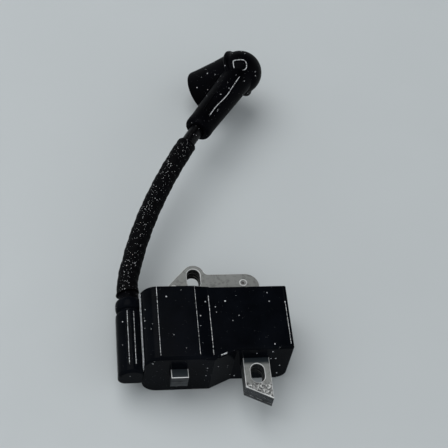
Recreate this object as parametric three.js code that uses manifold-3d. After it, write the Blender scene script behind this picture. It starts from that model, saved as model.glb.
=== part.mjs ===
// Flywheel ignition coil module of a small two-stroke engine, in millimetres, +Z up.
// It lies on its potted underside. A laminated U-shaped core runs through a moulded case, and a
// high-tension lead leaves the case's outlet tower and ends in an elbow boot for the spark plug.
//
// Every piece is drawn from one datum corner: x = 0 at the tower's outer side, y = 0 at the case's
// front face (the side that faces the flywheel) and z = 0 at the underside. The exported group then
// moves that datum so that the origin is the middle of the module's base.
import * as THREE from "three";
import { mergeVertices } from "three/addons/utils/BufferGeometryUtils.js";
import Module from "manifold-3d";

const wasm = await Module();
wasm.setup();

// ---- driving dimensions ------------------------------------------------------------------------

const GAP = 0.3; // air between two pieces that touch in the real module
const WALL = 1.6; // moulded case wall

// Case
const CASE_RIGHT = 55.75;
const CASE_BACK = 23;
const CASE_TOP = 21.1;
const CASE_FOOT_ROUND = 4; // rounding of the right lower edge
const CASE_EDGE_BEVEL = 0.6; // bevel of the right upper edge

// Coil lobe: the taller, rounded part of the case around the windings
const LOBE = {
  left: 7.75,
  right: 30,
  top: 22,
  front: -3.25,
  back: 23.25,
  flatFrom: 13,
  flatTo: 25.4,
  shoulderWidth: 5.25,
  shoulderHeight: 6,
};
const RAMP_END = 37.3; // where the slanted face between lobe and block meets the front face

// Laminated core
const SHEET = 0.5; // one lamination
const SHEET_COUNT = 12;
const CORE_BOTTOM = 8.75;
const CORE_TOP = CORE_BOTTOM + SHEET * SHEET_COUNT;
const CORE_MIDDLE = (CORE_BOTTOM + CORE_TOP) / 2;
const POLE = { left: 16.6, right: 22.05, tip: -6.15 }; // the pole that carries the windings
const LEG = { left: 39.85, right: 48.35, tipLeft: -10.05, tipRight: -14.3 };
const YOKE = { front: 23.75, back: 31.9, cornerRadius: 4.75 };
const SLOT_WIDTH = 4.5; // for an M4 screw
const EAR = { x: 26.35, y: 31.75, radius: 3.8, slopeAngle: 0.836, fillet: 1.6, slotNear: 28.75 };
const LEG_SLOT = { x: 44.1, far: -4.25, near: -6.4 };
const RIVET_RADIUS = 1.0;
const RIVET_HEAD_RADIUS = 1.35;
const RIVET_HEAD_HEIGHT = 0.25;
const RIVETS = [
  [42.9, 28.2],
  [19.5, 26.4],
  [44.1, 1.6],
];

// Outlet tower and high-tension lead
const TOWER = {
  x: 4.6,
  radius: 4.6,
  front: -4.2,
  nose: 1,
  footRound: 2.3,
  grooveFront: 18,
  grooveRadius: 3.7,
  beadFront: 19.4,
  back: 23.5,
  bore: 3.75,
  stepBack: 20.4,
};
const TOWER_RIBS = [3.6, 5.65]; // two fine ribs along its upper side
const LEAD_RADIUS = 2.5;
const CORE_WIRE_RADIUS = 0.7;
const SLEEVE_RADIUS = 3.5;
const LEAD_SIDES = 12;

// Spark plug boot: an elbow whose tube takes the lead and whose skirt takes the plug
const BOOT_HEAD = new THREE.Vector3(52.1, 119.9, 19.85); // where the tube's axis meets the skirt's
const BOOT_TUBE_DIRECTION = new THREE.Vector3(-0.5676, -0.8233, 0).normalize();
const BOOT_SKIRT_DIRECTION = new THREE.Vector3(-0.766, 0.023, -0.642).normalize();
const BOOT = {
  tubeLength: 36,
  tubeEndRadius: 4.9,
  tubeHeadRadius: 5.95,
  domeRadius: 8.3,
  skirtRadius: 8.35,
  skirtLength: 19,
  ringOffset: 1.8,
  ringRadius: 9.4,
  ringWidth: 1.8,
  socketRadius: 6.2,
  socketStep: 12,
  socketDepth: 20.5,
  terminalRadius: 3.7,
};

// ---- shape helpers -----------------------------------------------------------------------------

function toSolid(geometry) {
  const bare = new THREE.BufferGeometry();
  bare.setAttribute("position", geometry.getAttribute("position").clone());
  if (geometry.index) bare.setIndex(geometry.index.clone());
  const merged = mergeVertices(bare, 1e-4);
  const mesh = new wasm.Mesh({
    numProp: 3,
    vertProperties: merged.getAttribute("position").array,
    triVerts: new Uint32Array(merged.index.array),
  });
  return new wasm.Manifold(mesh);
}

function toGeometry(solid) {
  const mesh = solid.getMesh();
  const geometry = new THREE.BufferGeometry();
  geometry.setAttribute("position", new THREE.BufferAttribute(mesh.vertProperties, 3));
  geometry.setIndex(new THREE.BufferAttribute(mesh.triVerts, 1));
  geometry.computeVertexNormals();
  return geometry;
}

function box(x0, x1, y0, y1, z0, z1) {
  const geometry = new THREE.BoxGeometry(x1 - x0, y1 - y0, z1 - z0);
  return geometry.translate((x0 + x1) / 2, (y0 + y1) / 2, (z0 + z1) / 2);
}

// An outline in the XY plane, made solid from z0 to z1.
function upright(outline, z0, z1, curveSegments = 8) {
  const settings = { depth: z1 - z0, bevelEnabled: false, curveSegments };
  return new THREE.ExtrudeGeometry(outline, settings).translate(0, 0, z0);
}

// An outline in the XZ plane, made solid from y0 to y1.
function lengthwise(outline, y0, y1, curveSegments = 8) {
  const settings = { depth: y1 - y0, bevelEnabled: false, curveSegments };
  return new THREE.ExtrudeGeometry(outline, settings).rotateX(Math.PI / 2).translate(0, y1, 0);
}

// A cylinder along Y.
function rod(radius, y0, y1, x, z, sides = 24) {
  const geometry = new THREE.CylinderGeometry(radius, radius, y1 - y0, sides);
  return geometry.translate(x, (y0 + y1) / 2, z);
}

// A turned body: [radius, distance] points from axis to axis, along a direction from a place.
function turned(profile, place, direction, sides = 24) {
  const points = profile.map(([radius, along]) => new THREE.Vector2(radius, along));
  const geometry = new THREE.LatheGeometry(points, sides);
  const turn = new THREE.Quaternion().setFromUnitVectors(new THREE.Vector3(0, 1, 0), direction);
  return geometry.applyQuaternion(turn).translate(place.x, place.y, place.z);
}

function roundedRectangle(x0, x1, y0, y1, radius) {
  const outline = new THREE.Shape();
  outline.moveTo(x0 + radius, y0);
  outline.lineTo(x1 - radius, y0);
  outline.absarc(x1 - radius, y0 + radius, radius, -Math.PI / 2, 0);
  outline.lineTo(x1, y1 - radius);
  outline.absarc(x1 - radius, y1 - radius, radius, 0, Math.PI / 2);
  outline.lineTo(x0 + radius, y1);
  outline.absarc(x0 + radius, y1 - radius, radius, Math.PI / 2, Math.PI);
  outline.lineTo(x0, y0 + radius);
  outline.absarc(x0 + radius, y0 + radius, radius, Math.PI, 1.5 * Math.PI);
  return outline;
}

function circle(x, y, radius) {
  const path = new THREE.Path();
  path.absarc(x, y, radius, 0, 2 * Math.PI, true);
  return path;
}

function disc(radius) {
  const outline = new THREE.Shape();
  outline.absarc(0, 0, radius, 0, 2 * Math.PI);
  return outline;
}

// A round section swept along points, with an open bore when innerRadius is given.
function sweptRound(points, radius, innerRadius, steps, sides = LEAD_SIDES) {
  const outline = disc(radius);
  if (innerRadius) outline.holes.push(circle(0, 0, innerRadius));
  const extrudePath = new THREE.CatmullRomCurve3(points, false, "centripetal");
  return new THREE.ExtrudeGeometry(outline, { steps, extrudePath, curveSegments: sides / 2 });
}

// ---- scene graph -------------------------------------------------------------------------------

const module = new THREE.Group();
module.name = "ignition_coil";

function add(name, geometry, material) {
  const mesh = new THREE.Mesh(geometry, material);
  mesh.name = name;
  module.add(mesh);
  return mesh;
}

function look(color, roughness, metalness = 0) {
  return new THREE.MeshStandardMaterial({ color, roughness, metalness });
}

const LOOKS = {
  case: look(0x0c0d10, 0.28),
  potting: look(0x14130f, 0.45),
  steel: look(0xa3a19b, 0.45, 1),
  rivet: look(0x8d8c88, 0.4, 1),
  bobbin: look(0xd8d2c0, 0.5),
  copper: look(0xb4652e, 0.3, 1),
  brass: look(0xc19a4a, 0.3, 1),
  board: look(0x2f5a36, 0.6),
  component: look(0x22252a, 0.5),
  film: look(0x8a2a1c, 0.45),
  rubber: look(0x131316, 0.6),
  sleeve: look(0x17171a, 0.9),
  spring: look(0xb9b9b4, 0.3, 1),
};

// ---- case --------------------------------------------------------------------------------------

// Section of the case across its depth, moved in by `inset`.
function caseSection(inset) {
  const left = LOBE.left + inset;
  const right = CASE_RIGHT - inset;
  const top = LOBE.top - inset;
  const blockTop = CASE_TOP - inset;
  const width = LOBE.shoulderWidth;
  const height = LOBE.shoulderHeight;
  const foot = CASE_FOOT_ROUND;
  const section = new THREE.Shape();
  section.moveTo(left + width, inset);
  section.lineTo(right - foot, inset);
  section.absarc(right - foot, inset + foot, foot, -Math.PI / 2, 0);
  section.lineTo(right, blockTop - CASE_EDGE_BEVEL);
  section.lineTo(right - CASE_EDGE_BEVEL, blockTop);
  section.lineTo(LOBE.right, blockTop);
  section.quadraticCurveTo(LOBE.right - 2.2, blockTop, LOBE.flatTo, top);
  section.lineTo(left + width, top);
  section.absellipse(left + width, top - height, width, height, Math.PI / 2, Math.PI);
  section.lineTo(left, inset + height);
  section.absellipse(left + width, inset + height, width, height, Math.PI, 1.5 * Math.PI);
  return section;
}

// Plan of the case from above, moved in by `inset`.
function casePlan(inset) {
  const plan = new THREE.Shape();
  plan.moveTo(LOBE.left - 1, LOBE.front + inset);
  plan.lineTo(LOBE.right - inset / 2, LOBE.front + inset);
  plan.lineTo(RAMP_END - inset / 2, inset);
  plan.lineTo(CASE_RIGHT + 1, inset);
  plan.lineTo(CASE_RIGHT + 1, CASE_BACK - inset);
  plan.lineTo(LOBE.right, CASE_BACK - inset);
  plan.lineTo(LOBE.right, LOBE.back - inset);
  plan.lineTo(LOBE.left - 1, LOBE.back - inset);
  return plan;
}

function caseVolume(inset) {
  const along = toSolid(lengthwise(caseSection(inset), LOBE.front - 1, LOBE.back + 1));
  const above = toSolid(upright(casePlan(inset), -1, LOBE.top + 1));
  return along.intersect(above);
}

// The opening in the underside through which the case is filled.
const FILL_MOUTH = {
  left: LOBE.left + LOBE.shoulderWidth,
  right: CASE_RIGHT - CASE_FOOT_ROUND - WALL / 2,
  depth: 4,
};

function fillMouth(inset, z0, z1) {
  const mouth = new THREE.Shape();
  const front = LOBE.front + WALL + inset;
  const blockFront = WALL + inset;
  mouth.moveTo(FILL_MOUTH.left + inset, front);
  mouth.lineTo(LOBE.right - WALL / 2 - inset / 2, front);
  mouth.lineTo(RAMP_END - WALL / 2 - inset / 2, blockFront);
  mouth.lineTo(FILL_MOUTH.right - inset, blockFront);
  mouth.lineTo(FILL_MOUTH.right - inset, CASE_BACK - WALL - inset);
  mouth.lineTo(FILL_MOUTH.left + inset, CASE_BACK - WALL - inset);
  return toSolid(upright(mouth, z0, z1));
}

function coreWindow(left, right, y0, y1) {
  return toSolid(box(left - GAP, right + GAP, y0, y1, CORE_BOTTOM - GAP, CORE_TOP + GAP));
}

const towerAxis = (y) => new THREE.Vector3(TOWER.x, y, CORE_MIDDLE);
const backward = new THREE.Vector3(0, 1, 0);

// Section of the tower below its axis: as wide as the tower, with two rounded lower corners.
function towerFoot() {
  const { x, radius, footRound } = TOWER;
  const bottom = CORE_MIDDLE - radius;
  const foot = new THREE.Shape();
  foot.moveTo(x - radius + footRound, bottom);
  foot.lineTo(x + radius - footRound, bottom);
  foot.absarc(x + radius - footRound, bottom + footRound, footRound, -Math.PI / 2, 0);
  foot.lineTo(x + radius, CORE_MIDDLE);
  foot.lineTo(x - radius, CORE_MIDDLE);
  foot.absarc(x - radius + footRound, bottom + footRound, footRound, Math.PI, 1.5 * Math.PI);
  return foot;
}

function makeCase() {
  const { radius, nose, front, back, grooveFront, grooveRadius, beadFront } = TOWER;
  const towerProfile = [
    [0, front],
    [radius - nose, front],
    [radius - nose * 0.35, front + nose * 0.35],
    [radius, front + nose],
    [radius, grooveFront],
    [grooveRadius, grooveFront + 0.5],
    [grooveRadius, beadFront],
    [radius - 0.35, beadFront + 0.5],
    [radius, beadFront + 1.6],
    [radius, back - 1.6],
    [radius - 0.4, back - 0.5],
    [radius - 0.8, back],
    [0, back],
  ];
  const tower = toSolid(turned(towerProfile, towerAxis(0), backward, 32));
  const ribs = TOWER_RIBS.map((x) => {
    const top = CORE_MIDDLE + Math.sqrt(radius ** 2 - (x - TOWER.x) ** 2) + 0.2;
    return toSolid(box(x - 0.2, x + 0.2, front + nose, grooveFront - 0.3, CORE_MIDDLE + 2, top));
  });
  const lower = toSolid(lengthwise(towerFoot(), front + 0.4, grooveFront));
  const web = toSolid(box(TOWER.x, LOBE.left + 2, LOBE.front + 1.5, grooveFront - 0.5, 8.3, 15.2));
  let body = caseVolume(0).add(tower).add(lower).add(web);
  for (const rib of ribs) body = body.add(rib);

  const boreProfile = [
    [0, 1.2],
    [LEAD_RADIUS + GAP, 1.2],
    [LEAD_RADIUS + GAP, TOWER.stepBack],
    [TOWER.bore, TOWER.stepBack],
    [TOWER.bore, back + 1],
    [0, back + 1],
  ];
  const spikeProfile = [
    [0, -2.2],
    [1.5, -2.2],
    [1.5, 1.3],
    [0, 1.3],
  ];
  const linkWindow = box(TOWER.x, LOBE.left + WALL + 1, -2.2, 0.8, 10.25, 13.25);
  // The tower doesn't run past the lobe's front face on the lobe's side
  const lobeFace = box(LOBE.left, TOWER.x + radius + 1, front - 1, LOBE.front, 0, LOBE.top);
  return body
    .subtract(toSolid(lobeFace))
    .subtract(caseVolume(WALL))
    .subtract(fillMouth(0, -1, WALL + 1))
    .subtract(toSolid(turned(boreProfile, towerAxis(0), backward)))
    .subtract(toSolid(turned(spikeProfile, towerAxis(0), backward)))
    .subtract(toSolid(linkWindow))
    .subtract(coreWindow(POLE.left, POLE.right, LOBE.front - 1, LOBE.back + 1))
    .subtract(coreWindow(LEG.left, LEG.right, -1, CASE_BACK + 1));
}

add("case", toGeometry(makeCase()), LOOKS.case);

// ---- laminated core ----------------------------------------------------------------------------

function slot(x, near, far, radius) {
  const path = new THREE.Path();
  path.moveTo(x + radius, near);
  path.lineTo(x + radius, far);
  path.absarc(x, far, radius, 0, Math.PI);
  path.lineTo(x - radius, near);
  path.absarc(x, near, radius, Math.PI, 2 * Math.PI);
  return path;
}

// The U with its ear: winding pole on the left, yoke behind the case, screw leg on the right.
function laminationOutline() {
  const outline = new THREE.Shape();
  const slope = EAR.slopeAngle;
  const tangentX = EAR.x - EAR.radius * Math.sin(slope);
  const tangentY = EAR.y + EAR.radius * Math.cos(slope);
  const shoulderY = tangentY - (tangentX - POLE.left) * Math.tan(slope);
  // The small hollow between the ear and the yoke's back edge
  const filletY = YOKE.back + EAR.fillet;
  const reach = Math.sqrt((EAR.radius + EAR.fillet) ** 2 - (filletY - EAR.y) ** 2);
  const leave = Math.atan2(filletY - EAR.y, reach);
  outline.moveTo(POLE.left, POLE.tip);
  outline.lineTo(POLE.right, POLE.tip);
  outline.lineTo(POLE.right, YOKE.front);
  outline.lineTo(LEG.left, YOKE.front);
  outline.lineTo(LEG.left, LEG.tipLeft);
  outline.lineTo(LEG.right, LEG.tipRight);
  outline.lineTo(LEG.right, YOKE.back - YOKE.cornerRadius);
  outline.absarc(
    LEG.right - YOKE.cornerRadius,
    YOKE.back - YOKE.cornerRadius,
    YOKE.cornerRadius,
    0,
    Math.PI / 2,
  );
  outline.lineTo(EAR.x + reach, YOKE.back);
  outline.absarc(EAR.x + reach, filletY, EAR.fillet, -Math.PI / 2, -Math.PI + leave, true);
  outline.absarc(EAR.x, EAR.y, EAR.radius, leave, Math.PI / 2 + slope);
  outline.lineTo(POLE.left, shoulderY);
  outline.holes.push(slot(EAR.x, EAR.slotNear, EAR.y, SLOT_WIDTH / 2));
  outline.holes.push(slot(LEG_SLOT.x, LEG_SLOT.near, LEG_SLOT.far, SLOT_WIDTH / 2));
  for (const [x, y] of RIVETS) outline.holes.push(circle(x, y, RIVET_RADIUS + GAP));
  return outline;
}

for (let i = 0; i < SHEET_COUNT; i++) {
  const z = CORE_BOTTOM + i * SHEET;
  const number = String(i + 1).padStart(2, "0");
  add(`lamination_${number}`, upright(laminationOutline(), z, z + SHEET, 3), LOOKS.steel);
}

RIVETS.forEach(([x, y], i) => {
  const height = CORE_TOP - CORE_BOTTOM;
  const head = RIVET_HEAD_HEIGHT;
  const profile = [
    [0, -head],
    [RIVET_HEAD_RADIUS, -head],
    [RIVET_HEAD_RADIUS, 0],
    [RIVET_RADIUS, 0],
    [RIVET_RADIUS, height],
    [RIVET_HEAD_RADIUS, height],
    [RIVET_HEAD_RADIUS, height + head],
    [0, height + head],
  ];
  const place = new THREE.Vector3(x, y, CORE_BOTTOM);
  add(`core_rivet_${i + 1}`, turned(profile, place, new THREE.Vector3(0, 0, 1), 10), LOOKS.rivet);
});

// ---- coils -------------------------------------------------------------------------------------

// A band around the winding pole, from y0 to y1, between two offsets from the pole's section.
function band(y0, y1, inner, outer) {
  const outline = poleSection(outer);
  const hole = poleSection(inner);
  outline.holes.push(new THREE.Path(hole.getPoints(2)));
  return toSolid(lengthwise(outline, y0, y1, 2));
}

function poleSection(offset) {
  const { left, right } = POLE;
  const round = Math.max(offset, 0.2);
  return roundedRectangle(
    left - offset,
    right + offset,
    CORE_BOTTOM - offset,
    CORE_TOP + offset,
    round,
  );
}

const COIL = {
  front: -1.2,
  back: 21.1,
  divider: 5.4,
  flange: 0.8,
  tubeWall: 0.8,
  flangeReach: 5.2,
  chargeReach: 4.6,
  primaryReach: 2.5,
  secondaryReach: 4.7,
  secondarySections: 4,
};

const tubeReach = GAP + COIL.tubeWall;
const secondaryFront = COIL.divider + COIL.flange + GAP;
const secondaryBack = COIL.back - COIL.flange - GAP;
const secondaryTubeInner = COIL.primaryReach + GAP;
const secondaryTubeOuter = secondaryTubeInner + COIL.tubeWall;

function makeCoilBobbin() {
  let bobbin = band(COIL.front, COIL.back, GAP, tubeReach);
  for (const y of [COIL.front, COIL.divider, COIL.back - COIL.flange]) {
    bobbin = bobbin.add(band(y, y + COIL.flange, GAP, COIL.flangeReach));
  }
  return bobbin;
}

const sectionPitch = (secondaryBack - secondaryFront - COIL.flange) / COIL.secondarySections;

function makeSecondaryBobbin() {
  let bobbin = band(secondaryFront, secondaryBack, secondaryTubeInner, secondaryTubeOuter);
  for (let i = 0; i <= COIL.secondarySections; i++) {
    const y = secondaryFront + i * sectionPitch;
    bobbin = bobbin.add(band(y, y + COIL.flange, secondaryTubeInner, COIL.flangeReach));
  }
  return bobbin;
}

add("coil_bobbin", toGeometry(makeCoilBobbin()), LOOKS.bobbin);
add("secondary_bobbin", toGeometry(makeSecondaryBobbin()), LOOKS.bobbin);

const chargeFront = COIL.front + COIL.flange + GAP;
const chargeBack = COIL.divider - GAP;
const chargeWinding = band(chargeFront, chargeBack, tubeReach + GAP, COIL.chargeReach);
add("charge_winding", toGeometry(chargeWinding), LOOKS.copper);

const primaryWinding = band(secondaryFront, secondaryBack, tubeReach + GAP, COIL.primaryReach);
add("primary_winding", toGeometry(primaryWinding), LOOKS.copper);

for (let i = 0; i < COIL.secondarySections; i++) {
  const y0 = secondaryFront + i * sectionPitch + COIL.flange + GAP;
  const y1 = secondaryFront + (i + 1) * sectionPitch - GAP;
  const winding = band(y0, y1, secondaryTubeOuter + GAP, COIL.secondaryReach);
  add(`secondary_winding_${i + 1}`, toGeometry(winding), LOOKS.copper);
}

// ---- high-tension outlet -----------------------------------------------------------------------

const SPIKE = { headRadius: 1.1, radius: 0.45, back: -1.9, headLength: 0.8, tip: 6 };
const INSULATION_START = 1.6;

const spikeProfile = [
  [0, SPIKE.back],
  [SPIKE.headRadius, SPIKE.back],
  [SPIKE.headRadius, SPIKE.back + SPIKE.headLength],
  [SPIKE.radius, SPIKE.back + SPIKE.headLength],
  [SPIKE.radius, SPIKE.tip - 1.5],
  [0, SPIKE.tip],
];
add("lead_spike", turned(spikeProfile, towerAxis(0), backward, 12), LOOKS.brass);

const LINK = { width: 2, thickness: 0.5, front: -1.3 };
const linkGeometry = box(
  TOWER.x + SPIKE.headRadius + GAP,
  POLE.left - COIL.flangeReach - GAP,
  LINK.front,
  LINK.front + LINK.thickness,
  CORE_MIDDLE - LINK.width / 2,
  CORE_MIDDLE + LINK.width / 2,
);
add("secondary_link", linkGeometry, LOOKS.copper);

// Rubber seal: a sleeve in the tower's counterbore that stands a little proud of its end.
const sealBore = LEAD_RADIUS + GAP;
const sealStem = TOWER.bore - GAP;
const lipFront = TOWER.back + GAP;
const sealProfile = [
  [sealBore, TOWER.stepBack + GAP],
  [sealStem, TOWER.stepBack + GAP],
  [sealStem, lipFront + 0.4],
  [sealStem - 0.4, lipFront + 0.9],
  [sealBore, lipFront + 1],
  [sealBore, TOWER.stepBack + GAP],
];
add("lead_seal", turned(sealProfile, towerAxis(0), backward, 32), LOOKS.rubber);

// ---- electronics -------------------------------------------------------------------------------

const BOARD = { left: 31.6, right: 53.2, front: 2.6, back: 20.4, bottom: 16, top: 17 };
const boardOutline = roundedRectangle(BOARD.left, BOARD.right, BOARD.front, BOARD.back, 1);
add("circuit_board", upright(boardOutline, BOARD.bottom, BOARD.top, 3), LOOKS.board);

// A bevelled block with feet at its two ends, as a moulded surface-mount part has.
function chip(x, y, width, depth, height, feet) {
  const bottom = BOARD.top + GAP;
  const section = new THREE.Shape();
  section.moveTo(x - width / 2, bottom);
  section.lineTo(x + width / 2, bottom);
  section.lineTo(x + width / 2 - 0.25, bottom + height);
  section.lineTo(x - width / 2 + 0.25, bottom + height);
  const body = toSolid(lengthwise(section, y - depth / 2, y + depth / 2, 1));
  const foot = width / 2 + 0.6;
  let part = body;
  for (let i = 0; i < feet; i++) {
    const at = y - depth / 2 + ((i + 0.5) * depth) / feet;
    const feetPair = box(x - foot, x + foot, at - 0.2, at + 0.2, bottom, bottom + 0.3);
    part = part.add(toSolid(feetPair));
  }
  return toGeometry(part);
}

add("control_chip", chip(43.5, 11.5, 4, 5, 1.5, 4), LOOKS.component);
add("rectifier_diode_1", chip(35.2, 6, 3.4, 2.6, 1.8, 1), LOOKS.component);
add("rectifier_diode_2", chip(35.2, 10.4, 3.4, 2.6, 1.8, 1), LOOKS.component);
add("clamp_diode", chip(35.2, 14.8, 3.4, 2.6, 1.8, 1), LOOKS.component);
add("trigger_resistor", chip(50, 6.2, 2.4, 1.6, 0.7, 1), LOOKS.component);
add("timing_resistor", chip(50, 9.4, 2.4, 1.6, 0.7, 1), LOOKS.component);

const CAPACITOR = { left: 32.2, right: 38.9, front: 3.2, back: 19.4, bottom: 4.6 };
const capacitorOutline = roundedRectangle(
  CAPACITOR.left,
  CAPACITOR.right,
  CAPACITOR.front,
  CAPACITOR.back,
  0.8,
);
const capacitorTop = BOARD.bottom - GAP;
add("storage_capacitor", upright(capacitorOutline, CAPACITOR.bottom, capacitorTop, 3), LOOKS.film);

const THYRISTOR = { left: 49.6, right: 52.4, front: 6, back: 13.4, top: BOARD.bottom - 3.2, height: 7 };
const THYRISTOR_PINS = [7.4, 9.7, 12];
const THYRISTOR_PIN = { left: 50.7, right: 51.2, halfDepth: 0.35 };

function makeThyristor() {
  const { left, right, front, back, top, height } = THYRISTOR;
  const hollow = rod(1.2, front - 1, back + 1, left, top - height + 1.8, 12);
  let part = toSolid(box(left, right, front, back, top - height, top)).subtract(toSolid(hollow));
  for (const y of THYRISTOR_PINS) {
    const { left: x0, right: x1, halfDepth } = THYRISTOR_PIN;
    part = part.add(toSolid(box(x0, x1, y - halfDepth, y + halfDepth, top - 1, BOARD.bottom - GAP)));
  }
  return part;
}
add("thyristor", toGeometry(makeThyristor()), LOOKS.component);

// Leaf spring that earths the board on the core
const LEAF = { left: 41, right: 46, thickness: 0.2, bend: 42.4, tip: 44.4, front: 14.5, back: 16.5 };
const leafBottom = CORE_TOP + GAP;
const springSection = new THREE.Shape();
springSection.moveTo(LEAF.left, leafBottom);
springSection.lineTo(LEAF.right, leafBottom);
springSection.lineTo(LEAF.right, leafBottom + LEAF.thickness);
springSection.lineTo(LEAF.bend, leafBottom + LEAF.thickness);
springSection.lineTo(LEAF.tip, BOARD.bottom - GAP);
springSection.lineTo(LEAF.tip - 0.5, BOARD.bottom - GAP);
add("earth_spring", lengthwise(springSection, LEAF.front, LEAF.back, 1), LOOKS.brass);

const wireStart = POLE.right + COIL.flangeReach + GAP;
const wireEnd = BOARD.left - GAP;
[5.8, 19.6].forEach((y, i) => {
  const wire = new THREE.CylinderGeometry(0.35, 0.35, wireEnd - wireStart, 8).rotateZ(Math.PI / 2);
  wire.translate((wireStart + wireEnd) / 2, y, (BOARD.bottom + BOARD.top) / 2);
  add(`coil_tail_wire_${i + 1}`, wire, LOOKS.copper);
});

// ---- potting -----------------------------------------------------------------------------------

// Cured resin fills the case from below. Its pockets run straight up to the case's roof, so that
// the pieces set into it stay open to the top.
const POTTING = { bottom: 0.5, top: 19.2 };

function pocket(x0, x1, y0, y1, bottom) {
  return toSolid(box(x0 - GAP, x1 + GAP, y0 - GAP, y1 + GAP, bottom - GAP, LOBE.top + 1));
}

function makePotting() {
  const reach = COIL.flangeReach;
  const thyristorBottom = THYRISTOR.top - THYRISTOR.height;
  const coilBed = toSolid(lengthwise(poleSection(reach + GAP), COIL.front - GAP, COIL.back + GAP, 4));
  const below = toSolid(box(-1, CASE_RIGHT + 1, -9, CASE_BACK + 9, POTTING.bottom, POTTING.top));
  return caseVolume(WALL + GAP)
    .add(fillMouth(GAP, POTTING.bottom, WALL + 2))
    .intersect(below)
    .subtract(coilBed)
    .subtract(pocket(POLE.left - reach, POLE.right + reach, COIL.front, COIL.back, CORE_MIDDLE))
    .subtract(pocket(POLE.left, POLE.right, LOBE.front, LOBE.back, CORE_BOTTOM))
    .subtract(pocket(LEG.left, LEG.right, -1, CASE_BACK + 1, CORE_BOTTOM))
    .subtract(pocket(wireStart - 1, BOARD.right, BOARD.front, BOARD.back, BOARD.bottom))
    .subtract(pocket(CAPACITOR.left, CAPACITOR.right, CAPACITOR.front, CAPACITOR.back, CAPACITOR.bottom))
    .subtract(pocket(THYRISTOR.left, THYRISTOR.right, THYRISTOR.front, THYRISTOR.back, thyristorBottom))
    .subtract(pocket(LOBE.left, POLE.left, LINK.front, 0, CORE_MIDDLE - LINK.width / 2));
}

add("potting_compound", toGeometry(makePotting()), LOOKS.potting);

// ---- high-tension lead -------------------------------------------------------------------------

const alongTube = (distance) => BOOT_HEAD.clone().addScaledVector(BOOT_TUBE_DIRECTION, distance);

// The lead's centreline, from inside the tower to inside the boot.
const LEAD_START = [INSULATION_START, 8, 14, 20, 25.5].map(towerAxis);
const LEAD_FREE = [
  [4.3, 28.9, 11.9],
  [4.95, 33.6, 12.35],
  [6.3, 38.4, 12.9],
  [7.7, 43.3, 13.6],
  [9.4, 48.2, 14.4],
  [11.35, 53.3, 15.2],
  [13.55, 58.4, 16],
  [16, 63.5, 16.9],
  [18.65, 68.7, 17.7],
  [21.65, 74.1, 18.5],
  [24.8, 79.4, 19.2],
  [27.75, 84.2, 19.65],
].map((point) => new THREE.Vector3(...point));
const LEAD_END = [37.6, 32, 26, 20, 14, 9].map(alongTube);
const LEAD_POINTS = [...LEAD_START, ...LEAD_FREE, ...LEAD_END];

add("lead_insulation", sweptRound(LEAD_POINTS, LEAD_RADIUS, 1, 26), LOOKS.rubber);

const wirePoints = [towerAxis(SPIKE.tip + GAP), ...LEAD_START.slice(1), ...LEAD_FREE, ...LEAD_END];
add("lead_conductor", sweptRound(wirePoints, CORE_WIRE_RADIUS, 0, 26, 8), LOOKS.copper);

const sleeveStart = new THREE.Vector3(4.58, 27.2, 11.8);
const sleevePoints = [sleeveStart, ...LEAD_FREE];
add("lead_sleeve", sweptRound(sleevePoints, SLEEVE_RADIUS, LEAD_RADIUS + GAP, 13), LOOKS.sleeve);

// ---- spark plug boot ---------------------------------------------------------------------------

const alongSkirt = (distance) => BOOT_HEAD.clone().addScaledVector(BOOT_SKIRT_DIRECTION, distance);

function makeBoot() {
  const rim = BOOT.ringOffset + BOOT.skirtLength;
  const dome = [];
  const domeSteps = 6;
  for (let i = 0; i <= domeSteps; i++) {
    const angle = (i / domeSteps) * (Math.PI / 2);
    const radius = i === 0 ? 0 : BOOT.domeRadius * Math.sin(angle);
    dome.push([radius, BOOT.ringOffset - BOOT.domeRadius * Math.cos(angle)]);
  }
  const bodyProfile = [
    ...dome,
    [BOOT.ringRadius, BOOT.ringOffset],
    [BOOT.ringRadius, BOOT.ringOffset + BOOT.ringWidth],
    [BOOT.skirtRadius, BOOT.ringOffset + BOOT.ringWidth],
    [BOOT.skirtRadius, rim - 0.8],
    [BOOT.skirtRadius - 0.5, rim],
    [0, rim],
  ];
  const tubeProfile = [
    [0, 0],
    [BOOT.tubeHeadRadius, 0],
    [BOOT.tubeEndRadius, BOOT.tubeLength - 1],
    [BOOT.tubeEndRadius - 0.6, BOOT.tubeLength],
    [0, BOOT.tubeLength],
  ];
  const socketProfile = [
    [0, rim - BOOT.socketDepth],
    [BOOT.terminalRadius, rim - BOOT.socketDepth],
    [BOOT.terminalRadius, rim - BOOT.socketStep],
    [BOOT.socketRadius, rim - BOOT.socketStep + 1],
    [BOOT.socketRadius, rim + 1],
    [0, rim + 1],
  ];
  const cableHole = [
    [0, 0],
    [LEAD_RADIUS + GAP, 0],
    [LEAD_RADIUS + GAP, BOOT.tubeLength + 1],
    [0, BOOT.tubeLength + 1],
  ];
  const origin = BOOT_HEAD;
  return toSolid(turned(bodyProfile, origin, BOOT_SKIRT_DIRECTION, 32))
    .add(toSolid(turned(tubeProfile, origin, BOOT_TUBE_DIRECTION, 24)))
    .subtract(toSolid(turned(socketProfile, origin, BOOT_SKIRT_DIRECTION, 24)))
    .subtract(toSolid(turned(cableHole, origin, BOOT_TUBE_DIRECTION, 24)));
}

add("plug_boot", toGeometry(makeBoot()), LOOKS.rubber);

// Terminal: a coil spring that grips the plug's tip.
class Helix extends THREE.Curve {
  getPoint(t, target = new THREE.Vector3()) {
    const angle = t * TERMINAL.turns * 2 * Math.PI;
    const { radius } = TERMINAL;
    const along = TERMINAL.start + t * TERMINAL.length;
    return target.set(radius * Math.cos(angle), along, radius * Math.sin(angle));
  }
}

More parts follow.
